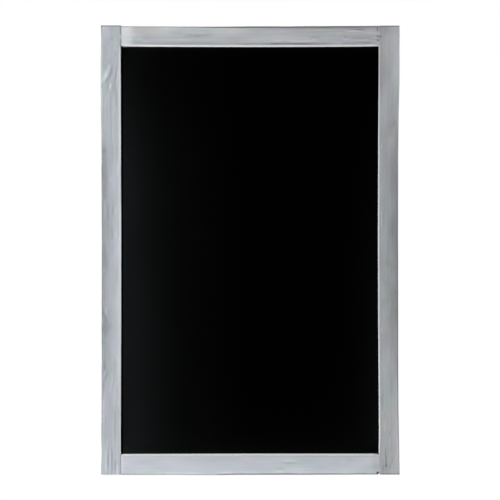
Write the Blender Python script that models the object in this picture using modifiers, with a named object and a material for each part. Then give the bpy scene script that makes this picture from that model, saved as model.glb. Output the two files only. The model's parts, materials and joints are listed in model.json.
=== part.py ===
"""Framed menu chalkboard for a wall, built as a picture framer builds one.

Two long stiles and two rails, each with a rebate along its inner back edge, meet in
dowelled butt joints. A black writing sheet on a hardboard panel drops into the rebate
from the back and is held by pressed-in steel points. Two strap hangers with swinging
D-rings carry the board, and two rubber bumpers keep its lower edge off the wall.

Frame: metres, +X to the right as seen from the front, +Y towards the wall, +Z up.
The origin is midway between the two hangers, on the back face of the frame.
"""

import math

import bmesh
import bpy
from mathutils import Vector

# Frame
BOARD_WIDTH = 0.400
BOARD_HEIGHT = 0.600
FRAME_DEPTH = 0.018
STILE_WIDTH = 0.026
RAIL_WIDTH = 0.026
TOP_RAIL_SETBACK = 0.0008
EDGE_ROUND = 0.0015
EDGE_SEGMENTS = 3
REBATE_WIDTH = 0.008
REBATE_DEPTH = 0.0075

# Panel
SHEET_THICKNESS = 0.0008
HARDBOARD_THICKNESS = 0.0030
PANEL_SIDE_GAP = 0.0008

# Corner dowels
DOWEL_DIAMETER = 0.006
DOWEL_LENGTH = 0.030
DOWEL_SPACING = 0.012
DOWEL_END_GAP = 0.0008
DOWEL_CHAMFER = 0.0006

# Framer's points
POINT_LENGTH = 0.015
POINT_WIDTH = 0.008
POINT_THICKNESS = 0.0005
POINT_BITE = 0.007
POINT_TIP = 0.004
POINTS_PER_STILE = 3
POINTS_PER_RAIL = 2

# Hangers
HANGER_DROP = 0.150
STRAP_WIDTH = 0.009
STRAP_THICKNESS = 0.0008
STRAP_LAYER_GAP = 0.0002
STRAP_END_MARGIN = 0.0055
LOOP_WRAP = math.radians(35)
RING_WIRE = 0.002
RING_WIDTH = 0.0145
RING_REACH = 0.013
RING_CORNER = 0.002
SCREW_HEAD_DIAMETER = 0.0065
SCREW_HEAD_HEIGHT = 0.0022
SCREW_SHANK_DIAMETER = 0.003
SCREW_LENGTH = 0.014
SCREW_TIP = 0.004
SCREW_HEAD_CLEARANCE = 0.0012
RECESS_ARM_LENGTH = 0.0036
RECESS_ARM_WIDTH = 0.0008
RECESS_DEPTH = 0.0012

# Wall bumpers
BUMPER_DIAMETER = 0.010
BUMPER_HEIGHT = 0.005
BUMPER_ROUND = 0.001
BUMPER_RISE = 0.030

# Clearances
SEAT_GAP = 0.0003
FIT_GAP = 0.00025
OVERCUT = 0.005

# Facets
ROUND_SIDES = 20
DOWEL_SIDES = 16
ARC_STEPS = 6

# Places that follow from the sizes above
TOP_Z = HANGER_DROP
BOTTOM_Z = TOP_Z - BOARD_HEIGHT
HALF_WIDTH = BOARD_WIDTH / 2
FRONT_Y = -FRAME_DEPTH
LIP_BACK_Y = -REBATE_DEPTH
STILE_INNER_X = HALF_WIDTH - STILE_WIDTH
STILE_REBATE_X = STILE_INNER_X + REBATE_WIDTH
STILE_BACK_CENTRE_X = (STILE_REBATE_X + HALF_WIDTH) / 2
RAIL_OUTER_Z = {"top": TOP_Z - TOP_RAIL_SETBACK, "bottom": BOTTOM_Z}
RAIL_OUTWARD = {"top": 1, "bottom": -1}
SIDE_OUTWARD = {"left": -1, "right": 1}
DOWEL_Y = (FRONT_Y + LIP_BACK_Y) / 2
SHEET_FRONT_Y = LIP_BACK_Y + SEAT_GAP
HARDBOARD_FRONT_Y = SHEET_FRONT_Y + SHEET_THICKNESS + SEAT_GAP
HARDBOARD_BACK_Y = HARDBOARD_FRONT_Y + HARDBOARD_THICKNESS
POINT_FRONT_Y = HARDBOARD_BACK_Y + SEAT_GAP
WIRE_RADIUS = RING_WIRE / 2
STRAP_LOWER_Y = SEAT_GAP + STRAP_THICKNESS / 2
STRAP_UPPER_Y = STRAP_LOWER_Y + STRAP_THICKNESS + STRAP_LAYER_GAP
STRAP_TOP_Y = STRAP_UPPER_Y + STRAP_THICKNESS / 2
RING_AXIS_Y = SEAT_GAP + STRAP_THICKNESS + FIT_GAP + WIRE_RADIUS
LOOP_RADIUS = WIRE_RADIUS + FIT_GAP + STRAP_THICKNESS / 2
SCREW_DROP = RING_REACH + WIRE_RADIUS + SCREW_HEAD_CLEARANCE + SCREW_HEAD_DIAMETER / 2
STRAP_LENGTH = SCREW_DROP + STRAP_END_MARGIN
SCREW_SEAT_Y = STRAP_TOP_Y + SEAT_GAP
RING_REST_TILT = math.asin((STRAP_TOP_Y + SEAT_GAP + WIRE_RADIUS - RING_AXIS_Y) / RING_REACH)
TURN_TO_WALL = (-math.pi / 2, 0, 0)


def clear_scene():
    for old in list(bpy.data.objects):
        bpy.data.objects.remove(old, do_unlink=True)


def new_collection(name):
    collection = bpy.data.collections.new(name)
    bpy.context.scene.collection.children.link(collection)
    return collection


def new_material(name, colour, roughness, metallic=0.0):
    material = bpy.data.materials.new(name)
    material.use_nodes = True
    shader = material.node_tree.nodes["Principled BSDF"]
    shader.inputs["Base Color"].default_value = (*colour, 1.0)
    shader.inputs["Roughness"].default_value = roughness
    shader.inputs["Metallic"].default_value = metallic
    material.diffuse_color = (*colour, 1.0)
    return material


def add_part(name, data, material, location=(0, 0, 0), rotation=(0, 0, 0), parent=None):
    """A named part in the board's collection. Parts may share their mesh or curve."""
    if not data.materials:
        data.materials.append(material)
    part = bpy.data.objects.new(name, data)
    PARTS.objects.link(part)
    part.location = location
    part.rotation_euler = rotation
    part.parent = parent
    return part


def add_cutter(name, data, location=(0, 0, 0), rotation=(0, 0, 0)):
    cutter = bpy.data.objects.new(name, data)
    CUTTERS.objects.link(cutter)
    cutter.location = location
    cutter.rotation_euler = rotation
    cutter.hide_render = True
    cutter.display_type = "WIRE"
    return cutter


def cut(part, cutter):
    boolean = part.modifiers.new(cutter.name, "BOOLEAN")
    boolean.operation = "DIFFERENCE"
    boolean.object = cutter


def finish_mesh(work, name, smooth_angle=None):
    mesh = bpy.data.meshes.new(name)
    work.to_mesh(mesh)
    work.free()
    if smooth_angle is not None:
        mesh.shade_smooth()
        mesh.set_sharp_from_angle(angle=smooth_angle)
    return mesh


def box_mesh(name, low, high):
    """A box between two opposite corners."""
    low, high = Vector(low), Vector(high)
    work = bmesh.new()
    bmesh.ops.create_cube(work, size=1.0)
    bmesh.ops.scale(work, vec=high - low, verts=work.verts)
    bmesh.ops.translate(work, vec=(low + high) / 2, verts=work.verts)
    return finish_mesh(work, name)


def rod_mesh(name, diameter, length, sides):
    """A cylinder along its own Z, centred on its origin."""
    work = bmesh.new()
    radius = diameter / 2
    bmesh.ops.create_cone(
        work, cap_ends=True, segments=sides, radius1=radius, radius2=radius, depth=length
    )
    return finish_mesh(work, name, smooth_angle=math.radians(40))


def slat_mesh(name, low, high, round_along):
    """A wooden slat whose edges are eased where they run along one of the named axes."""
    low, high = Vector(low), Vector(high)
    work = bmesh.new()
    bmesh.ops.create_cube(work, size=1.0)
    bmesh.ops.scale(work, vec=high - low, verts=work.verts)
    bmesh.ops.translate(work, vec=(low + high) / 2, verts=work.verts)
    eased = []
    for edge in work.edges:
        run = edge.verts[1].co - edge.verts[0].co
        if any(abs(run["xyz".index(axis)]) > EDGE_ROUND for axis in round_along):
            eased.append(edge)
    bmesh.ops.bevel(
        work, geom=eased, offset=EDGE_ROUND, segments=EDGE_SEGMENTS, profile=0.5, affect="EDGES"
    )
    return finish_mesh(work, name, smooth_angle=math.radians(40))


def turned_mesh(name, profile):
    """A profile of (radius, height) points, run down its outer side, for a Screw modifier."""
    work = bmesh.new()
    points = [work.verts.new((radius, 0, height)) for radius, height in profile]
    for first, second in zip(points, points[1:]):
        work.edges.new((first, second))
    return finish_mesh(work, name)


def turn(part):
    screw = part.modifiers.new("turn", "SCREW")
    screw.axis = "Z"
    screw.steps = ROUND_SIDES
    screw.render_steps = ROUND_SIDES
    screw.use_merge_vertices = True
    screw.merge_threshold = 0.00001
    screw.use_smooth_shade = True


def arc(centre, radius, start, end, steps):
    """Points along an arc in a plane, both ends included. Angles are in radians."""
    points = []
    for step in range(steps + 1):
        angle = start + (end - start) * step / steps
        points.append(
            (centre[0] + radius * math.cos(angle), centre[1] + radius * math.sin(angle))
        )
    return points


def spaced(count, low, high):
    """Evenly spaced places between two limits, half a step in from each end."""
    step = (high - low) / count
    return [low + step * (index + 0.5) for index in range(count)]


def dowel_places():
    """(name, side, rail, location) of each corner dowel, centred on its joint plane."""
    places = []
    for side, sideways in SIDE_OUTWARD.items():
        for rail, upward in RAIL_OUTWARD.items():
            middle_z = RAIL_OUTER_Z[rail] - upward * RAIL_WIDTH / 2
            for row, step in {"outer": 1, "inner": -1}.items():
                z = middle_z + upward * step * DOWEL_SPACING / 2
                location = (sideways * STILE_INNER_X, DOWEL_Y, z)
                places.append((f"dowel_{rail}_{side}_{row}", side, rail, location))
    return places


def point_places():
    """(name, member, location of the rebate wall, outward angle) of each framer's point."""
    inner_top = RAIL_OUTER_Z["top"] - RAIL_WIDTH + REBATE_WIDTH
    inner_bottom = RAIL_OUTER_Z["bottom"] + RAIL_WIDTH - REBATE_WIDTH
    middle_y = POINT_FRONT_Y + POINT_THICKNESS / 2
    places = []
    for side, sideways in SIDE_OUTWARD.items():
        angle = 0 if sideways > 0 else math.pi
        for number, z in enumerate(spaced(POINTS_PER_STILE, inner_bottom, inner_top), 1):
            location = (sideways * STILE_REBATE_X, middle_y, z)
            places.append((f"panel_point_{side}_{number}", f"{side}_stile", location, angle))
    for rail, upward in RAIL_OUTWARD.items():
        wall_z = inner_top if upward > 0 else inner_bottom
        for number, x in enumerate(spaced(POINTS_PER_RAIL, -STILE_REBATE_X, STILE_REBATE_X), 1):
            location = (x, middle_y, wall_z)
            angle = -upward * math.pi / 2
            places.append((f"panel_point_{rail}_{number}", f"{rail}_rail", location, angle))
    return places


def make_dowel_hole_cutters():
    """One cutter for each dowel, shared by the stile and the rail that it joins."""
    hole = rod_mesh(
        "dowel_hole",
        DOWEL_DIAMETER + 2 * FIT_GAP,
        DOWEL_LENGTH + 2 * DOWEL_END_GAP,
        DOWEL_SIDES,
    )
    cutters = []
    for name, side, rail, location in dowel_places():
        cutter = add_cutter(f"{name}_hole", hole, location, (0, math.pi / 2, 0))
        cutters.append((cutter, side, rail))
    return cutters


def make_point_slot_cutters():
    """A thin slot for each point, in the member that the point is pressed into."""
    half_width = POINT_WIDTH / 2 + SEAT_GAP
    half_thickness = POINT_THICKNESS / 2 + SEAT_GAP
    slot = box_mesh(
        "point_slot",
        (POINT_BITE - POINT_LENGTH - SEAT_GAP, -half_width, -half_thickness),
        (POINT_BITE + SEAT_GAP, half_width, half_thickness),
    )
    cutters = []
    for name, member, location, angle in point_places():
        cutter = add_cutter(f"{name}_slot", slot, location, (math.pi / 2, angle, 0))
        cutters.append((cutter, member))
    return cutters


def make_stiles(wood, dowel_holes, point_slots):
    pilot = rod_mesh(
        "screw_pilot", SCREW_SHANK_DIAMETER + 2 * FIT_GAP, 2 * SCREW_LENGTH, DOWEL_SIDES
    )
    for side, sideways in SIDE_OUTWARD.items():
        inner, outer = sorted((sideways * STILE_INNER_X, sideways * HALF_WIDTH))
        stile = add_part(
            f"{side}_stile",
            slat_mesh(f"{side}_stile", (inner, FRONT_Y, BOTTOM_Z), (outer, 0, TOP_Z), "xyz"),
            wood,
        )
        near, far = sorted(
            (sideways * (STILE_INNER_X - OVERCUT), sideways * STILE_REBATE_X)
        )
        rebate = box_mesh(
            f"{side}_rebate",
            (near, LIP_BACK_Y, BOTTOM_Z - OVERCUT),
            (far, OVERCUT, TOP_Z + OVERCUT),
        )
        cut(stile, add_cutter(f"{side}_rebate", rebate))
        for hole, hole_side, _ in dowel_holes:
            if hole_side == side:
                cut(stile, hole)
        for slot, member in point_slots:
            if member == stile.name:
                cut(stile, slot)
        pilot_end = SCREW_SEAT_Y - SCREW_LENGTH - SEAT_GAP
        pilot_at = (sideways * STILE_BACK_CENTRE_X, pilot_end + SCREW_LENGTH, -SCREW_DROP)
        cut(stile, add_cutter(f"{side}_screw_pilot", pilot, pilot_at, TURN_TO_WALL))


def make_rails(wood, dowel_holes, point_slots):
    """Each rail butts against the stiles in front, and its back half laps into their rebates."""
    tongue_x = STILE_REBATE_X - SEAT_GAP
    shoulder_x = STILE_INNER_X - SEAT_GAP
    for rail_name, upward in RAIL_OUTWARD.items():
        outer_z = RAIL_OUTER_Z[rail_name]
        inner_z = outer_z - upward * RAIL_WIDTH
        low_z, high_z = sorted((inner_z, outer_z))
        rail = add_part(
            f"{rail_name}_rail",
            slat_mesh(
                f"{rail_name}_rail", (-tongue_x, FRONT_Y, low_z), (tongue_x, 0, high_z), "x"
            ),
            wood,
        )
        near, far = sorted((inner_z - upward * OVERCUT, inner_z + upward * REBATE_WIDTH))
        rebate = box_mesh(
            f"{rail_name}_rebate",
            (-tongue_x - OVERCUT, LIP_BACK_Y, near),
            (tongue_x + OVERCUT, OVERCUT, far),
        )
        cut(rail, add_cutter(f"{rail_name}_rebate", rebate))
        for side, sideways in SIDE_OUTWARD.items():
            start, end = sorted((sideways * shoulder_x, sideways * (tongue_x + OVERCUT)))
            shoulder = box_mesh(
                f"{rail_name}_{side}_shoulder",
                (start, FRONT_Y - OVERCUT, low_z - OVERCUT),
                (end, LIP_BACK_Y + SEAT_GAP, high_z + OVERCUT),
            )
            cut(rail, add_cutter(f"{rail_name}_{side}_shoulder", shoulder))
        for hole, _, hole_rail in dowel_holes:
            if hole_rail == rail_name:
                cut(rail, hole)
        for slot, member in point_slots:
            if member == rail.name:
                cut(rail, slot)


def make_panel(laminate, hardboard):
    """The writing sheet and the hardboard behind it, sized to the rebates."""
    half_width = STILE_REBATE_X - PANEL_SIDE_GAP
    low_z = RAIL_OUTER_Z["bottom"] + RAIL_WIDTH - REBATE_WIDTH + PANEL_SIDE_GAP
    high_z = RAIL_OUTER_Z["top"] - RAIL_WIDTH + REBATE_WIDTH - PANEL_SIDE_GAP
    layers = {
        "writing_sheet": (SHEET_FRONT_Y, SHEET_THICKNESS, laminate),
        "hardboard_back": (HARDBOARD_FRONT_Y, HARDBOARD_THICKNESS, hardboard),
    }
    for name, (front_y, thickness, material) in layers.items():
        mesh = box_mesh(
            name, (-half_width, front_y, low_z), (half_width, front_y + thickness, high_z)
        )
        add_part(name, mesh, material)


def make_dowels(beech):
    rod = rod_mesh("corner_dowel", DOWEL_DIAMETER, DOWEL_LENGTH, DOWEL_SIDES)
    for name, _, _, location in dowel_places():
        dowel = add_part(name, rod, beech, location, (0, math.pi / 2, 0))
        chamfer = dowel.modifiers.new("end_chamfer", "BEVEL")
        chamfer.width = DOWEL_CHAMFER
        chamfer.segments = 1
        chamfer.limit_method = "ANGLE"
        chamfer.angle_limit = math.radians(60)


def make_points(steel):
    """Flat steel tabs, pointed at the end that is pressed into the wood."""
    outline = [
        (POINT_BITE - POINT_LENGTH, -POINT_WIDTH / 2),
        (POINT_BITE - POINT_TIP, -POINT_WIDTH / 2),
        (POINT_BITE, 0),
        (POINT_BITE - POINT_TIP, POINT_WIDTH / 2),
        (POINT_BITE - POINT_LENGTH, POINT_WIDTH / 2),
    ]
    curve = bpy.data.curves.new("panel_point", "CURVE")
    curve.dimensions = "2D"
    curve.fill_mode = "BOTH"
    curve.extrude = POINT_THICKNESS / 2
    spline = curve.splines.new("POLY")
    spline.points.add(len(outline) - 1)
    for point, (x, y) in zip(spline.points, outline):
        point.co = (x, y, 0, 1)
    spline.use_cyclic_u = True
    for name, _, location, angle in point_places():
        add_part(name, curve, steel, location, (math.pi / 2, angle, 0))


def strap_mesh():
    """One strip folded round the ring's bar, with both layers running down over the screw.

    The mesh is the strip's middle surface, with the ring's axis as its origin.
    """
    lower_y = STRAP_LOWER_Y - RING_AXIS_Y
    upper_y = STRAP_UPPER_Y - RING_AXIS_Y
    profile = [(lower_y, -STRAP_LENGTH)]
    profile += arc((0, 0), LOOP_RADIUS, math.pi, -LOOP_WRAP, 3 * ARC_STEPS)
    leave_y, leave_z = profile[-1]
    run = (leave_y - upper_y) / math.sin(LOOP_WRAP)
    profile.append((upper_y, leave_z - run * math.cos(LOOP_WRAP)))
    profile.append((upper_y, -STRAP_LENGTH))
    work = bmesh.new()
    verts = [work.verts.new((-STRAP_WIDTH / 2, y, z)) for y, z in profile]
    edges = [work.edges.new(pair) for pair in zip(verts, verts[1:])]
    swept = bmesh.ops.extrude_edge_only(work, edges=edges)["geom"]
    moved = [item for item in swept if isinstance(item, bmesh.types.BMVert)]
    bmesh.ops.translate(work, vec=(STRAP_WIDTH, 0, 0), verts=moved)
    bmesh.ops.recalc_face_normals(work, faces=work.faces)
    return finish_mesh(work, "hanger_strap", smooth_angle=math.radians(40))


def ring_curve():
    """A closed D of round wire: a straight bar along X and a half oval below it."""
    half = RING_WIDTH / 2
    points = [(-half + RING_CORNER, 0)]
    points += arc((half - RING_CORNER, -RING_CORNER), RING_CORNER, math.pi / 2, 0, 3)
    oval_top = -RING_CORNER
    oval_height = RING_REACH - RING_CORNER
    for step in range(1, 4 * ARC_STEPS):
        angle = -math.pi * step / (4 * ARC_STEPS)
        points.append((half * math.cos(angle), oval_top + oval_height * math.sin(angle)))
    points += arc((-half + RING_CORNER, -RING_CORNER), RING_CORNER, math.pi, math.pi / 2, 3)[:-1]
    curve = bpy.data.curves.new("hanger_ring", "CURVE")
    curve.dimensions = "3D"
    curve.bevel_depth = WIRE_RADIUS
    curve.bevel_resolution = 2
    spline = curve.splines.new("POLY")
    spline.points.add(len(points) - 1)
    for point, (x, z) in zip(spline.points, points):
        point.co = (x, 0, z, 1)
    spline.use_cyclic_u = True
    return curve


def screw_profile():
    """Pan head, plain shank and tapered tip. Height 0 is under the head."""
    head = SCREW_HEAD_DIAMETER / 2
    shank = SCREW_SHANK_DIAMETER / 2
    dome = arc((0, 0), 1.0, math.pi / 2, 0, ARC_STEPS)
    profile = [(0, SCREW_HEAD_HEIGHT)]
    profile += [(across * head, up * SCREW_HEAD_HEIGHT) for across, up in dome[1:]]
    profile += [(shank, 0), (shank, SCREW_TIP - SCREW_LENGTH), (0, -SCREW_LENGTH)]
    return profile


def make_hangers(steel, zinc):
    """A strap, a ring that swings in its loop and a screw, on the back of each stile."""
    strap = strap_mesh()
    ring = ring_curve()
    screw = turned_mesh("hanger_screw", screw_profile())
    hole = rod_mesh(
        "strap_hole", SCREW_SHANK_DIAMETER + 2 * FIT_GAP, 2 * STRAP_TOP_Y + OVERCUT, DOWEL_SIDES
    )
    arm = (RECESS_ARM_LENGTH / 2, RECESS_ARM_WIDTH / 2)
    for side, sideways in SIDE_OUTWARD.items():
        hanger = bpy.data.objects.new(f"{side}_hanger", None)
        PARTS.objects.link(hanger)
        hanger.location = (sideways * STILE_BACK_CENTRE_X, RING_AXIS_Y, 0)
        add_part(
            f"hanger_ring_{side}", ring, zinc, rotation=(RING_REST_TILT, 0, 0), parent=hanger
        )
        plate = add_part(f"hanger_strap_{side}", strap, steel, parent=hanger)
        gauge = plate.modifiers.new("gauge", "SOLIDIFY")
        gauge.thickness = STRAP_THICKNESS
        gauge.offset = 0
        gauge.use_even_offset = True
        hole_at = (sideways * STILE_BACK_CENTRE_X, STRAP_TOP_Y, -SCREW_DROP)
        cut(plate, add_cutter(f"{side}_strap_hole", hole, hole_at, TURN_TO_WALL))
        screw_at = Vector((0, SCREW_SEAT_Y - RING_AXIS_Y, -SCREW_DROP))
        fixing = add_part(f"hanger_screw_{side}", screw, zinc, screw_at, TURN_TO_WALL, hanger)
        turn(fixing)
        head_y = SCREW_SEAT_Y + SCREW_HEAD_HEIGHT
        for label, (across, along) in {"upright": arm, "level": arm[::-1]}.items():
            recess = box_mesh(
                f"{side}_recess_{label}",
                (-across, -RECESS_DEPTH, -along),
                (across, OVERCUT, along),
            )
            recess_at = (sideways * STILE_BACK_CENTRE_X, head_y, -SCREW_DROP)
            cut(fixing, add_cutter(f"{side}_recess_{label}", recess, recess_at))


def make_bumpers(rubber):
    radius = BUMPER_DIAMETER / 2
    profile = [(0, BUMPER_HEIGHT)]
    profile += arc(
        (radius - BUMPER_ROUND, BUMPER_HEIGHT - BUMPER_ROUND), BUMPER_ROUND, math.pi / 2, 0, 4
    )
    profile += [(radius, 0), (0, 0)]
    pad = turned_mesh("wall_bumper", profile)
    for side, sideways in SIDE_OUTWARD.items():
        location = (sideways * STILE_BACK_CENTRE_X, SEAT_GAP, BOTTOM_Z + BUMPER_RISE)
        turn(add_part(f"wall_bumper_{side}", pad, rubber, location, TURN_TO_WALL))


clear_scene()
PARTS = new_collection("menu_chalkboard")
CUTTERS = new_collection("cutters")


def main():
    wood = new_material("grey_washed_wood", (0.44, 0.48, 0.51), 0.65)
    laminate = new_material("black_writing_laminate", (0.004, 0.004, 0.0045), 0.55)
    hardboard = new_material("brown_hardboard", (0.22, 0.12, 0.06), 0.75)
    beech = new_material("beech", (0.55, 0.38, 0.22), 0.6)
    steel = new_material("bright_steel", (0.62, 0.62, 0.63), 0.35, 1.0)
    zinc = new_material("zinc_plate", (0.66, 0.67, 0.68), 0.3, 1.0)
    rubber = new_material("dark_rubber", (0.09, 0.09, 0.095), 0.6)
    dowel_holes = make_dowel_hole_cutters()
    point_slots = make_point_slot_cutters()
    make_stiles(wood, dowel_holes, point_slots)
    make_rails(wood, dowel_holes, point_slots)
    make_panel(laminate, hardboard)
    make_dowels(beech)
    make_points(steel)
    make_hangers(steel, zinc)
    make_bumpers(rubber)


main()
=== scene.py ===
"""Looks of a framed wall chalkboard, made round its fixed frame of solids.

The four slats of the frame are swept wood with grain, wear and a thin grey wash. A black
writing sheet and a hardboard panel fill them, and bright hardware sits on the back.
"""

import itertools
import json
import math
from dataclasses import dataclass

import bmesh
import bpy
import numpy as np
from bpy.props import FloatProperty, FloatVectorProperty, PointerProperty
from mathutils import Matrix, Vector


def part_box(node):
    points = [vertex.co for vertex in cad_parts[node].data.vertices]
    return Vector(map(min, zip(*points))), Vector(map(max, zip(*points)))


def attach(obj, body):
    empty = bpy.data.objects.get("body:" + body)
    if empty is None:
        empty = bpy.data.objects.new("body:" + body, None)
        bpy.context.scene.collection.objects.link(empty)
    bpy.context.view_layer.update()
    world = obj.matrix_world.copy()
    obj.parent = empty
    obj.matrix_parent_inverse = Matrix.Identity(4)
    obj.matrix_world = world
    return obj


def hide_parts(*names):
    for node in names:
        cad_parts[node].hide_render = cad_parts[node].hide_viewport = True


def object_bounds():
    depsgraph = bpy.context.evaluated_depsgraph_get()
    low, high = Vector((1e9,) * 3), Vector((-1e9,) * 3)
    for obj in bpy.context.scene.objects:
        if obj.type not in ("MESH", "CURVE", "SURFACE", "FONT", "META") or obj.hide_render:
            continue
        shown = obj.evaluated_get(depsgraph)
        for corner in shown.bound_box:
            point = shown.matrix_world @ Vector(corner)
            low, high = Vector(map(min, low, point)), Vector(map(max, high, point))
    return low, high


bl_info = {
    "name": "Framed chalkboard",
    "version": (1, 0, 0),
    "blender": (4, 5, 0),
    "location": "View3D > Sidebar > Chalkboard",
    "description": "Makes the visible pieces of a framed wall chalkboard",
    "category": "Add Mesh",
}

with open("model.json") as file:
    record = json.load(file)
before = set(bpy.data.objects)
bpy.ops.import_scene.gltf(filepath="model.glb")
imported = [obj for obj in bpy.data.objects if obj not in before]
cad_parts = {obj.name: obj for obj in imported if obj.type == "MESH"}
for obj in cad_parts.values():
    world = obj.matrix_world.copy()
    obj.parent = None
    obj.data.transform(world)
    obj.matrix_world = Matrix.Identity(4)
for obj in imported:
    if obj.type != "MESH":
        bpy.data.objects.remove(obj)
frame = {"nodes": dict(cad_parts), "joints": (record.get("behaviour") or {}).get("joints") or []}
CAD_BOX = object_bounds()
MM = 0.001
SIDES = {"left": -1, "right": 1}

# What the solids give
STILE_LOW, STILE_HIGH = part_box("left_stile")
RAIL_LOW, RAIL_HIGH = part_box("top_rail")
SHEET_LOW, SHEET_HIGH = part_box("writing_sheet")
STRAP_LOW, STRAP_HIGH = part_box("hanger_strap_left")
RING_LOW, RING_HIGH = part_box("hanger_ring_left")
SCREW_LOW, SCREW_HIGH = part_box("hanger_screw_left")
BUMPER_LOW, BUMPER_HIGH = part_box("wall_bumper_left")
POINT_LOW, POINT_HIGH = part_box("panel_point_left_1")
RING_AXES = {joint["child"]: Vector(joint["pos_m"]) for joint in frame["joints"]}
BOARD_CENTRE = (CAD_BOX[0] + CAD_BOX[1]) / 2

# Sizes of the slats that follow from them
SEAT_GAP = 0.3 * MM
LEFT_GAP, RIGHT_GAP = 1.0 * MM, 0.8 * MM
SLAT_WIDTH = STILE_HIGH.x - STILE_LOW.x
SLAT_DEPTH = STILE_HIGH.y - STILE_LOW.y
LIP_DEPTH = SHEET_LOW.y - SEAT_GAP - STILE_LOW.y
BACK_WIDTH = RAIL_LOW.x - SEAT_GAP - STILE_LOW.x
LEFT_SHOULDER = STILE_HIGH.x + LEFT_GAP
RIGHT_SHOULDER = -STILE_HIGH.x - RIGHT_GAP
STILE_LENGTH = STILE_HIGH.z - STILE_LOW.z
RAIL_LENGTH = RIGHT_SHOULDER - LEFT_SHOULDER

# How finely a slat is swept, and how its ends are closed. Turns are in degrees.
STATION_STEP = 2 * MM
END_STEPS = (0.6 * MM, 1.3 * MM, 2.1 * MM, 3.1 * MM, 4.4 * MM)
END_TURNS = (90, 60, 30, 0)
SQUARE_END_STEP = 0.4 * MM
TIGHTEST_ROUND = 0.85
CAP_SHARES = (0.75, 0.5, 0.25)
CAP_HUB = (BACK_WIDTH * 0.6, LIP_DEPTH * 0.7)
CAP_BARE = 0.3
TONGUE_SHARES = (0.5, 1.0)

# Grain and wear of the slats. Pitches along, across and back are in millimetres, as are the
# sizes of streaks, hills, sway and ripple.
SWAY_PITCH = (70, 11, 11)
RIPPLE_PITCH = (22, 5, 5)
PATCH_PITCH = (30, 9, 9)
PLANED_PITCH = (55, 9, 9)
WEAR_PITCH = 16 * MM
RIPPLE_SEED, PATCH_SEED, WEAR_SEED, PLANED_SEED = 1, 2, 5, 7
OUTER_WEAR = 0.3
INNER_WEAR = 0.2
LATE_START, LATE_PEAK, MEAN_LATE = 0.35, 0.92, 0.4
PLANED_SHARE = 1.2
PATCH_SHARE = 0.05
RING_SLANT = 0.55
SWAY_SIZE = 1.8
RIPPLE_SIZE = 0.35
GRAIN_OFFSET = (0.37, 0.11, 0.0)
BROADEST_STREAK = 6
STREAK_DEPTH = 5
HILL_EDGE = 2.5
HILL_REACH = 14
END_RIM_REACH = 1.6 * MM
END_SHIFT_REACH = 4 * MM
JOINT_TAPER = 3 * MM
FREE_TAPER = 2 * MM
LIP_EDGE = 6 * MM
CHIP_BACK = 8 * MM
CHIP_SHARE = 0.8

# Chalk and painted reflection on the writing sheet, and a painted shadow line beside the left stile
UPPER_START = BOARD_CENTRE.z + 60 * MM
FOOT_TOP = SHEET_LOW.z + 140 * MM
SHADOW_LINE_EDGE = (2.1 * MM, 4.3 * MM)

# Sheets and hardware. The points' turns are in degrees, by the slat that they bite.
SHEET_SPACING = 9 * MM
SHEET_SEED = 51
SWELL_PITCH = 70 * MM
STRAP_LAYER_GAP = 0.2 * MM
STRAP_EASE = 0.15 * MM
STRAP_END_TURN = math.radians(174)
STRAP_END_STEPS, STRAP_STRAIGHT_STEPS, STRAP_FOLD_STEPS, STRAP_COLUMNS = 14, 12, 26, 13
RING_CORNER = 2 * MM
RING_CORNER_STEPS, RING_OVAL_STEPS, WIRE_ROUND_STEPS = 8, 40, 5
SCREW_TIP = 3 * MM
DOME_STEPS = 12
SCREW_TURN = math.radians(18)
HEAD_LIP = 0.985
HEAD_EDGE = 0.12
RECESS_TAPER = 0.72
POINT_EASE = 0.08 * MM
POINT_BLUNT = 0.2 * MM
POINT_BEND = 0.6
POINT_ROWS = 12
POINT_CORNER = 1.2 * MM
POINT_TAIL = 0.72
POINT_TURNS = {"right": 0, "bottom": 90, "left": 180, "top": 270}
PAD_EASE = 1.0 * MM
PAD_EASE_STEPS = 8
PAD_DISH = ((0, 0.25 * MM), (0.35, 0.22 * MM), (0.6, 0.06 * MM))
PAD_FOOT = ((0, 0.5 * MM), (0.15 * MM, 0.2 * MM), (0.2 * MM, 0))
SCREW_STEPS, PAD_STEPS = 66, 64
RECESS_SHARP, WOOD_SHARP, TURNED_SHARP, SHEET_METAL_SHARP = np.radians((30, 35, 40, 50))

# Camera and floor
SENSOR_WIDTH = 36.0
FLOOR_HALF_WIDTH = 3.0
FLOOR_SQUARES = 8
FLOOR_GLOW = 0.8


@dataclass(frozen=True)
class Mark:
    """A streak in a slat's front face, in millimetres from its top or left end and outer edge."""

    along: float
    across: float
    length: float
    width: float
    tone: float
    slope: float = 0.0
    bend: float = 0.0


@dataclass(frozen=True)
class Hill:
    """A place where the grain lines swell in from the slat's outer edge, in millimetres."""

    along: float
    half_length: float
    height: float
    tone: float = 0.0


@dataclass(frozen=True)
class Slat:
    """One slat of the frame: how its grain runs, how pale its wash is with painted light from the lower
    left, and how far it has bowed.

    Pairs give a value at a distance along the slat, in millimetres from its top or left end.
    Outer rims paint shade and wear on the outer edges. Inner rims paint a highlight on a thick pale
    wash round the writing sheet. End rims darken the stiles' ends, and the joint rim darkens the joint.
    Shifts are in millimetres.
    """

    node: str
    upright: bool
    seed: int
    paleness_and_light: float
    figure: tuple
    cool: tuple
    outer_wear_and_shade: tuple
    inner_wash_and_highlight: tuple
    joint_rim: float
    end_rim: tuple
    inner_round: float
    outer_shift: tuple
    inner_shift: tuple
    hills: tuple
    marks: tuple
    end_shift: tuple = (0.0, 0.0)
    joint_shift: tuple = (0.0, 0.0)
    chipped: bool = False


# A slat's paleness is partly its wash and partly painted light. The light falls off from the lower
# left, so the right stile and the top rail are painted darker than the left stile and the bottom rail.
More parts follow.
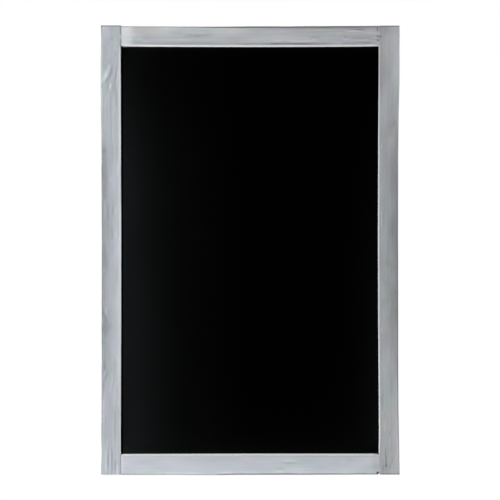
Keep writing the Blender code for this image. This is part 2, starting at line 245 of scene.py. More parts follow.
SLATS = (
    Slat(
        node="left_stile",
        upright=True,
        seed=3,
        paleness_and_light=0.53,
        figure=((0, 0.1), (40, 0.3), (75, 0.35), (110, 0.2), (545, 0.2), (570, 0.5), (600, 0.4)),
        cool=(0.95, 1.25),
        outer_wear_and_shade=(
            (0, -0.3), (20, 0.1), (40, 0.42), (110, 0.4), (150, 0.14), (230, 0.08), (300, 0.05),
            (470, 0.0), (530, -0.25), (600, -0.25),
        ),
        inner_wash_and_highlight=(
            (0, 0.4), (75, 0.38), (150, 0.65), (178, 0.6), (192, 0.25), (236, 0.25), (248, 0.7),
            (300, 0.72), (450, 0.65), (530, 0.75), (600, 0.5),
        ),
        joint_rim=-0.3,
        end_rim=(-0.65, 0.0),
        inner_round=1.5,
        outer_shift=(
            (0, 0.7), (18, 1.4), (30, 1.1), (50, 0.6), (113, 0.6), (150, 1.4), (300, 1.9), (450, 1.7),
            (540, 1.4), (556, 1.25), (570, 1.9), (588, 1.4), (600, 1.0),
        ),
        inner_shift=(
            (0, 0.3), (30, 0.5), (42, 0.0), (100, 0.1), (167, 0.3), (274, 0.65), (394, 0.6), (514, 0.2),
            (545, 0.1), (572, 0.1), (600, 0.3),
        ),
        end_shift=(0.0, 0.45),
        joint_shift=(1.6, 1.0),
        hills=(
            Hill(36, 35, 20), Hill(206, 44, 9.6, -0.09), Hill(316, 30, 9, -0.08),
            Hill(402, 20, 11, -0.12), Hill(448, 38, 14, -0.05),
        ),
        marks=(
            Mark(315, 0, 330, 26, -0.19), Mark(300, 26, 380, 18, 0.105), Mark(560, 18, 160, 40, -0.07),
            Mark(370, 13, 430, 60, -0.065), Mark(8, 4, 20, 9, 0.12), Mark(7.5, 25.6, 12, 1.8, -0.48),
            Mark(22, 25.6, 9, 1.8, -0.44), Mark(17.6, 15, 7, 2.6, -0.14), Mark(38, 20, 7, 2.6, -0.12),
            Mark(49, 11.5, 6, 3.4, -0.14), Mark(63, 8.6, 26, 6.2, 0.17, -0.4, -0.01),
            Mark(71, 5.2, 16, 5.6, 0.13, -0.2), Mark(60, 10.4, 14, 2.4, 0.12, -0.34),
            Mark(66, 12.8, 28, 4.6, -0.16, -0.45, -0.022),
            Mark(70, 10.6, 14, 2.2, -0.14, -0.62, -0.022), Mark(66, 17, 22, 2.6, 0.1, -0.28, -0.01),
            Mark(72, 19.4, 34, 2.8, -0.16, -0.14), Mark(70, 23, 26, 2.2, 0.09, -0.12),
            Mark(84, 9, 18, 3.4, -0.08, -0.25), Mark(98, 8.5, 22, 3, 0.08, -0.1),
            Mark(300, 25, 560, 4, 0.08), Mark(80.5, 13.5, 7, 2.6, 0.3, -0.25),
            Mark(95, 21.4, 30, 1.6, -0.18), Mark(104, 18.6, 24, 2.4, 0.12),
            Mark(145, 21.6, 85, 1.8, -0.1), Mark(131, 13.6, 66, 2.2, -0.1), Mark(205, 12.7, 9, 3, 0.1),
            Mark(168, 16, 28, 2.4, -0.12), Mark(167, 4.2, 7, 4, -0.17), Mark(190, 23, 20, 3, 0.1),
            Mark(197, 1.2, 20, 1.6, -0.25), Mark(246, 8.6, 24, 2.8, -0.13), Mark(245, 4.6, 26, 4, 0.09),
            Mark(248, 19.6, 13, 2.6, 0.13), Mark(247, 16.4, 13, 2, -0.14),
            Mark(279, 19.4, 9, 2.4, 0.11), Mark(278, 15, 14, 2.8, -0.16), Mark(327, 3.3, 7, 3, 0.18),
            Mark(382, 6, 11, 2.4, 0.16), Mark(455, 4.4, 14, 2.6, -0.14),
            Mark(468, 7, 12, 2.2, -0.2, -0.45), Mark(466, 4.4, 10, 2, 0.12, -0.4),
            Mark(460.5, 14.4, 5, 2.2, -0.13), Mark(481, 16.2, 16, 2, -0.15, -0.22),
            Mark(480, 14.2, 18, 1.8, 0.1, -0.2), Mark(487, 12.4, 7, 2.4, 0.14),
            Mark(501, 20, 22, 8, 0.08), Mark(515, 3.6, 48, 2, 0.15), Mark(535, 19.2, 40, 2.2, -0.1),
            Mark(542, 16, 50, 2.2, 0.07), Mark(580, 9.2, 20, 2.4, -0.17),
            Mark(578, 15, 26, 2.4, -0.16, 0.03), Mark(587, 19.8, 14, 3.2, -0.15),
            Mark(588, 25.2, 26, 2.6, -0.08), Mark(582, 6.2, 36, 2.6, 0.24),
            Mark(582, 12.2, 36, 2.4, 0.19), Mark(593, 22.2, 14, 2.4, 0.2), Mark(3.5, 4, 4, 6, 0.1),
            Mark(32, 5.1, 16, 7, -0.08), Mark(55, 6.9, 9, 5, -0.11), Mark(68, 9.5, 7, 3, 0.14),
            Mark(84, 13.8, 8, 3, 0.13), Mark(299, 14.2, 14, 7, -0.07), Mark(358, 8.6, 16, 8, -0.05),
            Mark(395, 0.8, 14, 3, 0.24), Mark(415, 3, 14, 6.5, 0.1), Mark(463, 18.6, 24, 6.5, -0.09),
            Mark(482, 1.9, 16, 4, -0.15), Mark(22, 10.2, 12, 6, -0.06), Mark(45.5, 5.3, 10, 6, -0.07),
            Mark(402, 13, 10, 5, -0.07), Mark(450, 19.5, 12, 5, -0.07), Mark(495, 2, 10, 4, -0.1),
            Mark(503, 24.5, 14, 3, 0.08), Mark(558, 9, 14, 5, 0.07), Mark(590, 7.6, 12, 4, 0.09),
        ),
    ),
    Slat(
        node="right_stile",
        upright=True,
        seed=11,
        paleness_and_light=0.26,
        figure=((0, 0.05), (500, 0.08), (600, 0.3)),
        cool=(0.24, 0.34),
        outer_wear_and_shade=((0, -0.1), (160, -0.15), (250, -0.6), (420, -0.9), (540, -0.6), (600, -0.1)),
        inner_wash_and_highlight=(
            (0, 0.5), (60, 0.64), (92, 0.85), (150, 0.95), (300, 0.9), (400, 0.7), (520, 0.7),
            (556, 0.9), (575, 1.0), (600, 0.7),
        ),
        joint_rim=0.0,
        end_rim=(-0.95, -0.65),
        inner_round=0.8,
        outer_shift=(
            (0, 0.0), (75, 0.0), (90, 0.5), (113, 1.15), (167, 1.8), (275, 2.15), (394, 2), (514, 1.6),
            (570, 0.5), (600, 0.1),
        ),
        inner_shift=(
            (0, 0.7), (50, 0.8), (150, 1.45), (280, 1.8), (400, 1.5), (510, 0.65), (545, 0.5),
            (560, 0.7), (573, 1.5), (576, 0.8), (600, 0.7),
        ),
        end_shift=(0.25, 0.0),
        hills=(Hill(470, 16, -9), Hill(588, 14, 7)),
        marks=(
            Mark(45, 0, 130, 20, 0.08), Mark(4, 12, 16, 40, -0.06), Mark(30, 26, 120, 20, -0.1),
            # Mark(285, 0, 310, 34, -0.2) paints shade over the outer half of the stile's middle.
            Mark(285, 0, 310, 34, -0.2), Mark(570, 0, 120, 22, 0.1), Mark(520, 14, 250, 60, 0.06),
            Mark(161, 22.6, 7, 1.8, 0.12), Mark(260, 22.6, 24, 1.8, 0.16),
            Mark(258, 20, 20, 1.4, -0.08), Mark(318, 14, 9, 14, -0.05), Mark(407, 23, 8, 1.8, 0.16),
            Mark(521, 19, 11, 1.6, -0.1), Mark(545, 12.5, 7, 1.8, -0.12), Mark(536, 19.5, 10, 2, 0.1),
            Mark(502, 22.6, 26, 1.8, -0.14, 0.02, -0.008), Mark(576, 17.8, 26, 1.8, -0.22),
            Mark(588, 17.8, 4, 4, -0.18), Mark(584, 10.6, 18, 1.8, -0.16, 0.22, 0.014),
            Mark(591.5, 21.2, 8, 2.2, -0.12, -0.3), Mark(592.5, 20, 3, 6, -0.07),
            Mark(580, 14.2, 12, 2, 0.07), Mark(6, 26.3, 5, 1.6, -0.4), Mark(14, 26.3, 26, 2.6, 0.1),
            Mark(587, 26.2, 24, 2.6, 0.12), Mark(594, 19, 8, 7, 0.06), Mark(131, 6, 10, 5, -0.06),
            Mark(140, 11, 24, 9, -0.075), Mark(326, 8, 14, 9, -0.045), Mark(357, 20.5, 20, 9, 0.09),
            Mark(378, 15, 18, 10, 0.05), Mark(345, 22.8, 10, 4, 0.08), Mark(369, 4, 18, 5, 0.07),
            Mark(15.5, 25.6, 2.4, 3.4, -0.4),
        ),
    ),
    Slat(
        node="top_rail",
        upright=False,
        seed=23,
        paleness_and_light=0.425,
        figure=((0, 0.05), (20, 0.15), (350, 0.15)),
        cool=(0.12, 0.46),
        outer_wear_and_shade=(
            (0, -0.4), (80, -0.4), (120, -0.8), (180, -1.2), (260, -1.1), (340, -0.8), (350, -0.4),
        ),
        inner_wash_and_highlight=(
            (0, 0.4), (3, 0.6), (15, 0.65), (30, 0.8), (100, 0.8), (200, 0.68), (338, 0.64), (344, 0.3),
            (350, 0.0),
        ),
        joint_rim=-0.2,
        end_rim=(0.0, 0.0),
        inner_round=0.9,
        outer_shift=((0, -0.2), (20, 0.1), (50, 0.4), (105, 0.7), (175, 0.5), (260, 0.1), (350, -0.6)),
        inner_shift=(
            (0, 0.1), (6, 0.0), (13, -0.3), (21, -0.45), (45, -0.25), (175, 0.1), (265, -0.14),
            (306, -0.4), (325, -0.56), (340, -0.8), (350, -0.8),
        ),
        end_shift=(1.2, 0.0),
        hills=(Hill(130, 60, 3), Hill(280, 50, -3)),
        marks=(
            Mark(3, 13, 26, 200, 0.37), Mark(60, 0, 190, 26, 0.17), Mark(310, 0, 170, 14, -0.16),
            Mark(350, 20, 150, 50, -0.115), Mark(260, 13, 160, 60, -0.02), Mark(17.5, 17.5, 3, 5, -0.1),
            Mark(33, 18.2, 10, 1.6, -0.1), Mark(42, 21.4, 28, 2, 0.08), Mark(67, 3.6, 24, 2, 0.08),
            Mark(103, 12.4, 34, 2.8, -0.14), Mark(103.5, 13, 8, 2.6, -0.1),
            Mark(86, 14.6, 50, 1.8, -0.12), Mark(86, 18.8, 15, 2.4, 0.1), Mark(80, 24, 110, 2.8, -0.16),
            Mark(212, 24, 146, 2.8, -0.28), Mark(230, 23.8, 80, 2.8, -0.18),
            Mark(240, 1.7, 200, 2.4, -0.2), Mark(195, 1.5, 90, 2.2, -0.42),
            Mark(238, 20.2, 38, 2.4, 0.1), Mark(208, 20, 12, 2.6, 0.09), Mark(260, 15.4, 14, 2, -0.17),
            Mark(259, 18.2, 4, 1.8, 0.16), Mark(319, 5.4, 16, 1.8, -0.32),
            Mark(313, 7.2, 24, 2.2, 0.26), Mark(301, 15.2, 6, 2.2, -0.14),
            Mark(321, 16.2, 28, 2.4, -0.12), Mark(304, 18.8, 16, 2.8, 0.12, 0.1),
            Mark(322, 19.6, 20, 2.4, 0.13), Mark(325, 22.8, 20, 2.4, -0.14), Mark(332, 8.6, 14, 3, 0.1),
            Mark(343.3, 5, 1.7, 4.4, -0.5), Mark(344, 14.6, 4.5, 2.4, -0.38),
            Mark(343.8, 20.2, 3.2, 2.8, -0.38), Mark(344.2, 22.6, 2.4, 1.8, 0.36),
            Mark(5, 1.6, 14, 1.8, -0.25), Mark(22, 15, 20, 16, 0.1), Mark(18, 13.5, 6, 7, 0.06),
            Mark(74, 8.1, 18, 8, -0.09), Mark(117, 10.8, 16, 8, -0.05), Mark(264, 2, 18, 2.4, -0.2),
            Mark(305, 24, 20, 3, -0.12), Mark(306, 5.6, 8, 2, -0.15), Mark(34, 21, 10, 4, 0.1),
            Mark(221, 21.5, 12, 3, -0.09), Mark(252, 1.6, 12, 2, -0.12), Mark(275, 2.8, 10, 2, -0.12),
        ),
    ),
    Slat(
        node="bottom_rail",
        upright=False,
        seed=37,
        paleness_and_light=0.545,
        figure=((0, 0.06), (350, 0.06)),
        cool=(1.0, 0.9),
        outer_wear_and_shade=(
            (0, -0.65), (60, -0.65), (66, -0.5), (126, -0.55), (134, -0.95), (180, -1.05), (260, -0.85),
            (350, -0.8),
        ),
        inner_wash_and_highlight=(
            (0, 0.2), (4, 1.0), (60, 1.0), (110, 0.9), (190, 0.72), (270, 0.55), (335, 0.55),
            (350, 0.7),
        ),
        joint_rim=0.0,
        end_rim=(0.0, 0.0),
        inner_round=0.6,
        outer_shift=(
            (0, -0.55), (60, -0.58), (85, -0.8), (120, -0.8), (150, -0.5), (190, -0.4), (260, -0.3),
            (350, -0.1),
        ),
        inner_shift=(
            (0, -0.6), (13, -0.45), (45, -0.4), (90, -0.25), (175, -0.05), (300, -0.05), (331, 0.06),
            (339, 0.48), (345, 0.6), (350, 0.5),
        ),
        end_shift=(0.5, 0.0),
        chipped=True,
        hills=(Hill(90, 40, 3), Hill(210, 60, 3)),
        marks=(
            Mark(50, 10, 200, 60, 0.045), Mark(3, 14, 3, 60, 0.1), Mark(175, 0, 420, 14, 0.06),
            Mark(230, 4, 180, 2.2, 0.08), Mark(345, 13, 60, 60, 0.02), Mark(140, 21.5, 44, 10, -0.06),
            Mark(90, 9, 48, 12, 0.04), Mark(304, 12, 34, 16, 0.05), Mark(232, 6.5, 24, 8, 0.06),
            Mark(260, 20.5, 34, 10, -0.04), Mark(342, 10, 10, 12, -0.06), Mark(344, 14, 18, 24, -0.08),
            Mark(38, 3.5, 14, 4, -0.07), Mark(281, 10, 14, 6, 0.05), Mark(298, 18, 12, 5, 0.06),
            Mark(84, 3.1, 48, 1.8, 0.18), Mark(140, 3.6, 17, 1.8, 0.17), Mark(226, 19, 17, 1.8, 0.17),
            Mark(226, 15.8, 17, 1.8, -0.15), Mark(212, 8.8, 11, 1.8, -0.16),
            Mark(212, 5, 11, 1.8, 0.18), Mark(265, 24.4, 170, 2.2, -0.14),
            # The last mark paints shade into the chip at the lower right joint.
            Mark(343.6, 2.5, 3.2, 2.3, -1.9),
        ),
    ),
)

# Whole numbers that scramble a cell into its noise
CELL_PRIMES = np.array((73856093, 19349663, 83492791))
SEED_PRIME = 2654435761
SCRAMBLE = ((15, 2246822519), (13, 3266489917))
LAST_SHIFT = 16
WORD = 0xFFFFFFFF


def mix(first, last, share):
    """A value part of the way from one to another."""
    return first + (last - first) * share


def smooth_step(value, low, high):
    """Rises smoothly from 0 at low to 1 at high."""
    share = np.clip((value - low) / (high - low), 0, 1)
    return share * share * (3 - 2 * share)


def table_at(pairs, along):
    """The values that a table of pairs gives at places along a slat."""
    return np.interp(along / MM, *zip(*pairs))


def lattice(cell, seed):
    """A repeatable number from 0 to 1 for each whole-numbered cell."""
    mixed = np.bitwise_xor.reduce(cell * CELL_PRIMES, axis=-1)
    mixed = (mixed ^ (seed * SEED_PRIME)) & WORD
    for shift, prime in SCRAMBLE:
        mixed = ((mixed ^ (mixed >> shift)) * prime) & WORD
    return (mixed ^ (mixed >> LAST_SHIFT)) / WORD


def soft_noise(places, seed):
    """Smooth noise from -1 to 1 at an array of places."""
    cell = np.floor(places).astype(np.int64)
    share = places - cell
    share = share * share * (3 - 2 * share)
    total = np.zeros(places.shape[:-1])
    for corner in itertools.product((0, 1), repeat=3):
        weight = np.prod(np.where(corner, share, 1 - share), axis=-1)
        total += weight * lattice(cell + np.array(corner), seed)
    return 2 * total - 1


def wood_noise(places, pitch, seed):
    """Smooth noise in a slat, with a pitch along, across and back."""
    return soft_noise(places / MM / np.array(pitch), seed)


def arc_points(centre, radius, start, end, steps):
    """Points along an arc in a plane, both ends included. Angles are in radians."""
    angles = [mix(start, end, step / steps) for step in range(steps + 1)]
    return [
        (centre[0] + radius * math.cos(angle), centre[1] + radius * math.sin(angle))
        for angle in angles
    ]


def grid_faces(rows, columns):
    """The faces of a grid of places, row by row."""
    index = np.arange(rows * columns).reshape(rows, columns)
    corners = (index[:-1, :-1], index[:-1, 1:], index[1:, 1:], index[1:, :-1])
    return np.stack(corners, axis=-1).reshape(-1, 4)


def band(first, last):
    """The faces between two closed rows of places."""
    return zip(first, np.roll(first, -1), np.roll(last, -1), last)


def fan(hub, row):
    """The faces between a place and the closed row round it."""
    return zip(itertools.repeat(hub), row, np.roll(row, -1))


def mesh_from(name, places, faces, sharp_angle):
    """A mesh with its faces turned outwards, smooth up to an angle."""
    data = bpy.data.meshes.new(name)
    data.from_pydata([tuple(place) for place in places], [], faces)
    work = bmesh.new()
    work.from_mesh(data)
    bmesh.ops.recalc_face_normals(work, faces=work.faces)
    for face in work.faces:
        face.smooth = True
    work.to_mesh(data)
    work.free()
    data.set_sharp_from_angle(angle=sharp_angle)
    return data


def turned_mesh(name, profile, steps):
    """A mesh turned about Y from pairs of radius and height, the first and last on the axis."""
    top, *rings, foot = profile
    turns = np.linspace(0, 2 * math.pi, steps, endpoint=False)
    places = [(0, top[1], 0), (0, foot[1], 0)]
    for radius, height in rings:
        places += [(radius * math.cos(turn), height, radius * math.sin(turn)) for turn in turns]
    rows = np.arange(2, len(places)).reshape(len(rings), steps)
    faces = [*fan(0, rows[0]), *fan(1, rows[-1])]
    for first, last in itertools.pairwise(rows):
        faces += band(first, last)
    return mesh_from(name, places, faces, TURNED_SHARP)


def linked(name, data):
    """A new object in the scene."""
    item = bpy.data.objects.new(name, data)
    bpy.context.scene.collection.objects.link(item)
    return item


def made_mesh(item):
    """An object's mesh with its modifiers or bevel worked out."""
    bpy.context.view_layer.update()
    seen = item.evaluated_get(bpy.context.evaluated_depsgraph_get())
    data = bpy.data.meshes.new_from_object(seen)
    data.set_sharp_from_angle(angle=TURNED_SHARP)
    return data


def cut_mesh(data, cutter):
    """A mesh cut by another."""
    item, tool = linked(data.name, data), linked(cutter.name, cutter)
    cut = item.modifiers.new("cut", "BOOLEAN")
    cut.object = tool
    cut.solver = "EXACT"
    result = made_mesh(item)
    for helper in (item, tool):
        bpy.data.objects.remove(helper)
    return result


def add_piece(name, data, material, node, slot, body="board", place=Matrix.Identity(4)):
    """Puts a piece in the scene, in place of its solid and on the body it moves with."""
    piece = linked(name, data)
    piece.matrix_world = place
    if not data.materials:
        data.materials.append(material)
    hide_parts(node)
    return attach(piece, body)


def seat_on(node, depth):
    """The place at the middle of a node's box, at a depth in the frame."""
    low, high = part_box(node)
    middle = (low + high) / 2
    return Matrix.Translation((middle.x, depth, middle.z))


def thicken(piece, thickness, ease, even=False):
    """Gives a thin piece its thickness and eases its edges."""
    gauge = piece.modifiers.new("gauge", "SOLIDIFY")
    gauge.thickness = thickness
    gauge.offset = 0
    gauge.use_even_offset = even
    bevel = piece.modifiers.new("ease", "BEVEL")
    bevel.width = ease
    bevel.segments = 2


@dataclass(frozen=True)
class Corner:
    """A corner of a slat's section, and the face that follows it round the section.

    Across runs from the outer edge, back from the front face. Turn is the way that the corner
    faces first, in degrees. A corner with no steps is a plain point on a face.
    """

    across: float
    back: float
    turn: float
    radius: object
    steps: int
    face_steps: int
    rims: tuple
    face_rim: float
    bare: float
    relief: float = 1.0

    @property
    def on_face(self):
        """Whether it is a plain point, at the front of a rail's tongue."""
        return self.steps == 0 and self.face_steps > 0


def slat_corners(outer_round, inner_round, back_round):
    """The corners of a rebated slat, from its outer front edge round past its back."""
    lap = LIP_DEPTH + SEAT_GAP
    plain = (0.0, 0.0)
    # Rims below 0 give painted shade on the outer front edge and the front of the outer side. Rims
    # above 0 give a painted highlight on the inner edge, the inner wall and the lip round the writing
    # sheet.
    return (
        Corner(0, 0, 180, outer_round, 5, 30, (-0.8, -1.0), 0.0, 0.0),
        Corner(SLAT_WIDTH, 0, 270, inner_round, 6, 9, (0.0, 1.0), 1.0, 0.0),
        Corner(SLAT_WIDTH, LIP_DEPTH, 0, SEAT_GAP, 1, 3, (1.0, 1.0), 1.0, 0.0, 0.0),
        Corner(BACK_WIDTH, LIP_DEPTH, 0, 0.0, 0, 0, plain, 0.0, 0.9, 0.0),
        Corner(BACK_WIDTH, lap, 0, 0.0, 0, 4, plain, 0.0, 0.9, 0.0),
        Corner(BACK_WIDTH, SLAT_DEPTH, 0, back_round / 3, 2, 14, plain, 0.0, 0.6),
        Corner(0, SLAT_DEPTH, 90, back_round, 4, 5, plain, 0.0, 0.15),
        Corner(0, lap, 180, 0.0, 0, 9, plain, -0.4, 0.05),
    )


class Section:
    """A slat's section at every station: places, outward directions and looks of its columns."""

    def __init__(self, corners, insets):
        columns = []
        self.laps = []
        made = [self.corner_columns(corner, insets) for corner in corners]
        for corner, own, following in zip(corners, made, made[1:] + made[:1]):
            if corner.on_face:
                self.laps.append(len(columns))
            columns += own
            end, out = own[-1][:2]
            for step in range(1, corner.face_steps + 1):
                place = mix(end, following[0][0], step / (corner.face_steps + 1))
                columns.append((place, out, corner.face_rim, corner.bare, corner.relief))
        place, out, rim, bare, relief = zip(*columns)
        self.place = np.stack(place, axis=1)
        self.out, self.rim, self.bare, self.relief = map(np.array, (out, rim, bare, relief))

    @staticmethod
    def corner_columns(corner, insets):
        """The columns of one corner, each with its place at every station, drawn in there."""
        inset = insets[:, None]
        tip = np.array((corner.across, corner.back))
        radius = np.broadcast_to(corner.radius, insets.shape)[:, None]
        left_over = radius - np.minimum(inset, TIGHTEST_ROUND * radius)
        ends = np.radians((corner.turn, corner.turn + 90))
        towards = np.array((np.cos(ends).sum(), np.sin(ends).sum()))
        centre = tip - (inset + left_over) * towards
        made = []
        for step in range(corner.steps + 1):
            share = step / max(corner.steps, 1)
            angle = mix(*ends, share)
            out = np.array((math.cos(angle), math.sin(angle)))
            place = tip - inset * out if corner.on_face else centre + left_over * out
            made.append((place, out, mix(*corner.rims, share), corner.bare, corner.relief))
        return made


class Skin:
    """The places and faces of a slat, with how bare of wash each place is."""

    def __init__(self):
        self.places = np.empty((0, 3))
        self.bare = np.empty(0)
        self.faces = []

    def add(self, places, bare):
        """Adds places and gives their indices."""
        start = len(self.places)
        self.places = np.concatenate((self.places, places))
        self.bare = np.append(self.bare, np.broadcast_to(bare, len(places)))
        return np.arange(start, len(self.places))

    def cap(self, row):
        """Closes an end with rings that shrink to a hub."""
        rim = self.places[row]
        hub = np.array((rim[0, 0], *CAP_HUB))
        for share in CAP_SHARES:
            ring = self.add(mix(hub, rim, share), CAP_BARE)
            self.faces += band(ring, row)
            row = ring
        middle = self.add(hub[None, :], CAP_BARE)
        self.faces += fan(middle[0], row)

    def run_on(self, row, laps, reach):
        """Closes the front of an end and runs the tongue behind it on into the joint."""
        columns = np.arange(len(row))
        self.faces.append(row[(columns <= laps[0]) | (columns >= laps[1])])
        tongue = last = row[laps[0] : laps[1] + 1]
        for share in TONGUE_SHARES:
            step = np.array((reach, 0, 0)) * share
            made = self.add(self.places[tongue] + step, self.bare[tongue])
            self.faces += band(last, made)
            last = made
        self.faces.append(last)

    def padded(self, values):
        """Values for the first places, with zeros for the places added at the ends."""
        spare = np.zeros((len(self.places) - len(values), *values.shape[1:]))
        return np.concatenate((values, spare))


def wood_fields(slat, places, pitch):
    """The growth-ring count, paleness, streaks, strength of grain and coolness at places."""
    along, across, back = (places / MM).T
    sway = wood_noise(places, SWAY_PITCH, slat.seed)
    ripple = wood_noise(places, RIPPLE_PITCH, slat.seed + RIPPLE_SEED)
    patchy = wood_noise(places, PATCH_PITCH, slat.seed + PATCH_SEED)
    lift, shade, streaks = (np.zeros_like(along) for _ in range(3))
    for hill in slat.hills:
        swell = hill.height * np.exp(-(((along - hill.along) / hill.half_length) ** 2))
        lift += swell
        shade += hill.tone * smooth_step(swell - across, -HILL_EDGE, HILL_EDGE)
    lift *= np.exp(-np.abs(across) / HILL_REACH)
    wander = SWAY_SIZE * sway + RIPPLE_SIZE * ripple
    ring = (across + RING_SLANT * back - lift + wander) / (pitch / MM) + slat.seed
    tone = slat.paleness_and_light + PATCH_SHARE * patchy
    depth = np.exp(-((back / STREAK_DEPTH) ** 2))
    for mark in slat.marks:
        run = along - mark.along
        line = mark.across + mark.slope * run + mark.bend * run**2
        aside = (across - line) / (mark.width / 2)
        shape = mark.tone * np.exp(-((run / (mark.length / 2)) ** 4) - aside**2) * depth
        if mark.width < BROADEST_STREAK:
            streaks += shape
        else:
            tone += shape
    return {
        "ring": ring,
        "tone": tone + shade * depth,
        "streaks": streaks,
        "figure": table_at(slat.figure, places[:, 0]),
        "cool": np.interp(across, (0, SLAT_WIDTH / MM), slat.cool),
    }


def late_wood(ring):
    """The dense dark part of each growth ring, from its count."""
    phase = ring - np.floor(ring)
    return smooth_step(phase, LATE_START, LATE_PEAK) * (1 - smooth_step(phase, LATE_PEAK, 1.0))


def slat_stations(slat, end_round):
    """Places along a slat, closer at its ends, and how far the section draws in at each."""
    length = STILE_LENGTH if slat.upright else RAIL_LENGTH
    near_end, drawn_in = np.array((0.0, SQUARE_END_STEP)), np.zeros(2)
    if slat.upright:
        turns = np.radians(END_TURNS)
        near_end, drawn_in = end_round * (1 - np.sin(turns)), end_round * (1 - np.cos(turns))
    near_end = np.append(near_end, near_end[-1] + np.array(END_STEPS))
    middle_count = round((length - 2 * near_end[-1]) / STATION_STEP)
    middle = np.linspace(near_end[-1], length - near_end[-1], middle_count + 1)[1:-1]
    stations = np.concatenate((near_end, middle, length - near_end[::-1]))
    insets = np.zeros_like(stations)
    insets[: len(drawn_in)] = drawn_in
    insets[-len(drawn_in) :] = drawn_in[::-1]
    return stations, insets, length


def slat_rims(slat, section, stations, free):
    """How much painted highlight on pale wash each column of each station gets, and below 0 how much
    painted shade, wear and dirt.
    """
    outer, inner = (table_at(rim, stations)[:, None] for rim in (slat.outer_wear_and_shade, slat.inner_wash_and_highlight))
    inner = mix(slat.joint_rim, inner, free[:, None])
    rims = np.where(section.rim < 0, -section.rim * outer, section.rim * inner)
    length = stations[-1]
    ends = np.where(stations < length / 2, *slat.end_rim)
    at_end = np.minimum(stations, length - stations) < END_RIM_REACH
    return rims + np.where(at_end, ends, 0.0)[:, None]


def slat_shape(slat, wood, places, length):
    """Places moved by the slat's bow, by its loose joints and by its chip."""
    shaped = places.copy()
    along, across, back = places.T
    outer, inner = (table_at(shift, along) * MM for shift in (slat.outer_shift, slat.inner_shift))
    shaped[:, 1] += mix(outer, inner, np.clip(across / SLAT_WIDTH, 0, 1))
    from_ends = np.stack((along, length - along), axis=-1)
    fade = np.clip(1 - np.abs(from_ends) / END_SHIFT_REACH, 0, 1)
    shaped[:, 0] += fade @ np.array(slat.end_shift) * MM
    in_joint = 1 - smooth_step(from_ends, SLAT_WIDTH - JOINT_TAPER, SLAT_WIDTH + JOINT_TAPER)
    near_lip = smooth_step(across, SLAT_WIDTH - LIP_EDGE, SLAT_WIDTH)
    shaped[:, 1] += in_joint @ np.array(slat.joint_shift) * MM * near_lip
    if slat.chipped:
        chip = 1 - np.hypot((length - along) / wood.chip_size, back / CHIP_BACK)
        edge = np.clip(1 - across / wood.chip_size, 0, 1)
        shaped[:, 1] += CHIP_SHARE * wood.chip_size * np.sqrt(np.clip(chip, 0, 1)) * edge
    return shaped


def slat_to_world(slat, places):
    """Turns places along, across and back into places in the frame."""
    low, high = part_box(slat.node)
    along, across, back = places.T
    if slat.upright:
        x = low.x + across if slat.node == "left_stile" else high.x - across
        z = high.z - along
    else:
        x = LEFT_SHOULDER + along
        z = high.z - across if slat.node == "top_rail" else low.z + across
    return np.stack((x, low.y + back, z), axis=-1)


def slat_mesh(slat, wood):
    """A slat swept along its grain, with rounded worn edges, bow and raised grain."""
    stations, insets, length = slat_stations(slat, wood.end_round)
    worn = soft_noise(np.outer(stations / WEAR_PITCH, (1, 0, 0)), slat.seed + WEAR_SEED)
    free = np.ones_like(stations)
    if slat.upright:
        from_end = np.minimum(stations, length - stations)
        free = smooth_step(from_end, SLAT_WIDTH, SLAT_WIDTH + FREE_TAPER)
    outer_round = wood.edge_round * (1 + OUTER_WEAR * worn)
    inner_round = slat.inner_round * MM * (1 + INNER_WEAR * worn)
    inner_round = mix(wood.joint_round, inner_round, free)
    section = Section(slat_corners(outer_round, inner_round, wood.back_round), insets)
    count, columns = section.place.shape[:2]
    along = np.broadcast_to(stations[:, None], (count, columns))

    skin = Skin()
    tube = np.dstack((along, section.place)).reshape(-1, 3)
    rows = skin.add(tube, np.tile(section.bare, count)).reshape(count, columns)
    for first, last in itertools.pairwise(rows):
        skin.faces += band(first, last)
    reaches = (RAIL_LOW.x - LEFT_SHOULDER, RAIL_HIGH.x - RIGHT_SHOULDER)
    for row, reach in zip((rows[0], rows[-1]), reaches):
        if slat.upright:
            skin.cap(row)
        else:
            skin.run_on(row, section.laps, reach)

    places = skin.places
    fields = wood_fields(slat, places, wood.ring_pitch)
    fields["rim"] = skin.padded(slat_rims(slat, section, stations, free).ravel())
    fields["bare"] = skin.bare
    planed = wood_noise(places, PLANED_PITCH, slat.seed + PLANED_SEED)
    grain = (late_wood(fields["ring"]) - MEAN_LATE) * fields["figure"]
    relief = skin.padded(np.tile(section.relief, count))
    out = skin.padded(np.tile(section.out, (count, 1)))
    shaped = slat_shape(slat, wood, places, length)
    shaped[:, 1:] += out * (wood.relief * (grain + PLANED_SHARE * planed) * relief)[:, None]

    data = mesh_from(slat.node, slat_to_world(slat, shaped), skin.faces, WOOD_SHARP)
    for name, values in fields.items():
        layer = data.attributes.new(name, "FLOAT", "POINT")
        layer.data.foreach_set("value", values.astype(np.float32))
    layer = data.attributes.new("grain_at", "FLOAT_VECTOR", "POINT")
    grain_at = places + slat.seed * np.array(GRAIN_OFFSET)
    layer.data.foreach_set("vector", grain_at.astype(np.float32).ravel())
    return data


class Field:
    """One output of a node. Sums on it add Math nodes."""

    def __init__(self, nodes, socket):
        self.nodes = nodes
        self.socket = socket

    def math(self, operation, *values):
        """The result of a Math node on this field and other values."""
        return self.nodes.math(operation, self, *values)

    def __add__(self, other):
        return self.math("ADD", other)

    def __sub__(self, other):
        return self.math("SUBTRACT", other)

    def __rsub__(self, other):
        return self.nodes.math("SUBTRACT", other, self)

    def __mul__(self, other):
        return self.math("MULTIPLY", other)

    __radd__ = __add__
    __rmul__ = __mul__

    def step(self, low, high):
        """Rises smoothly from 0 at low to 1 at high."""
        settings = {"interpolation_type": "SMOOTHSTEP"}
        return self.nodes.add("ShaderNodeMapRange", settings, {0: self, 1: low, 2: high})

    def other(self, output):
        """Another output of the same node."""
        return Field(self.nodes, self.socket.node.outputs[output])


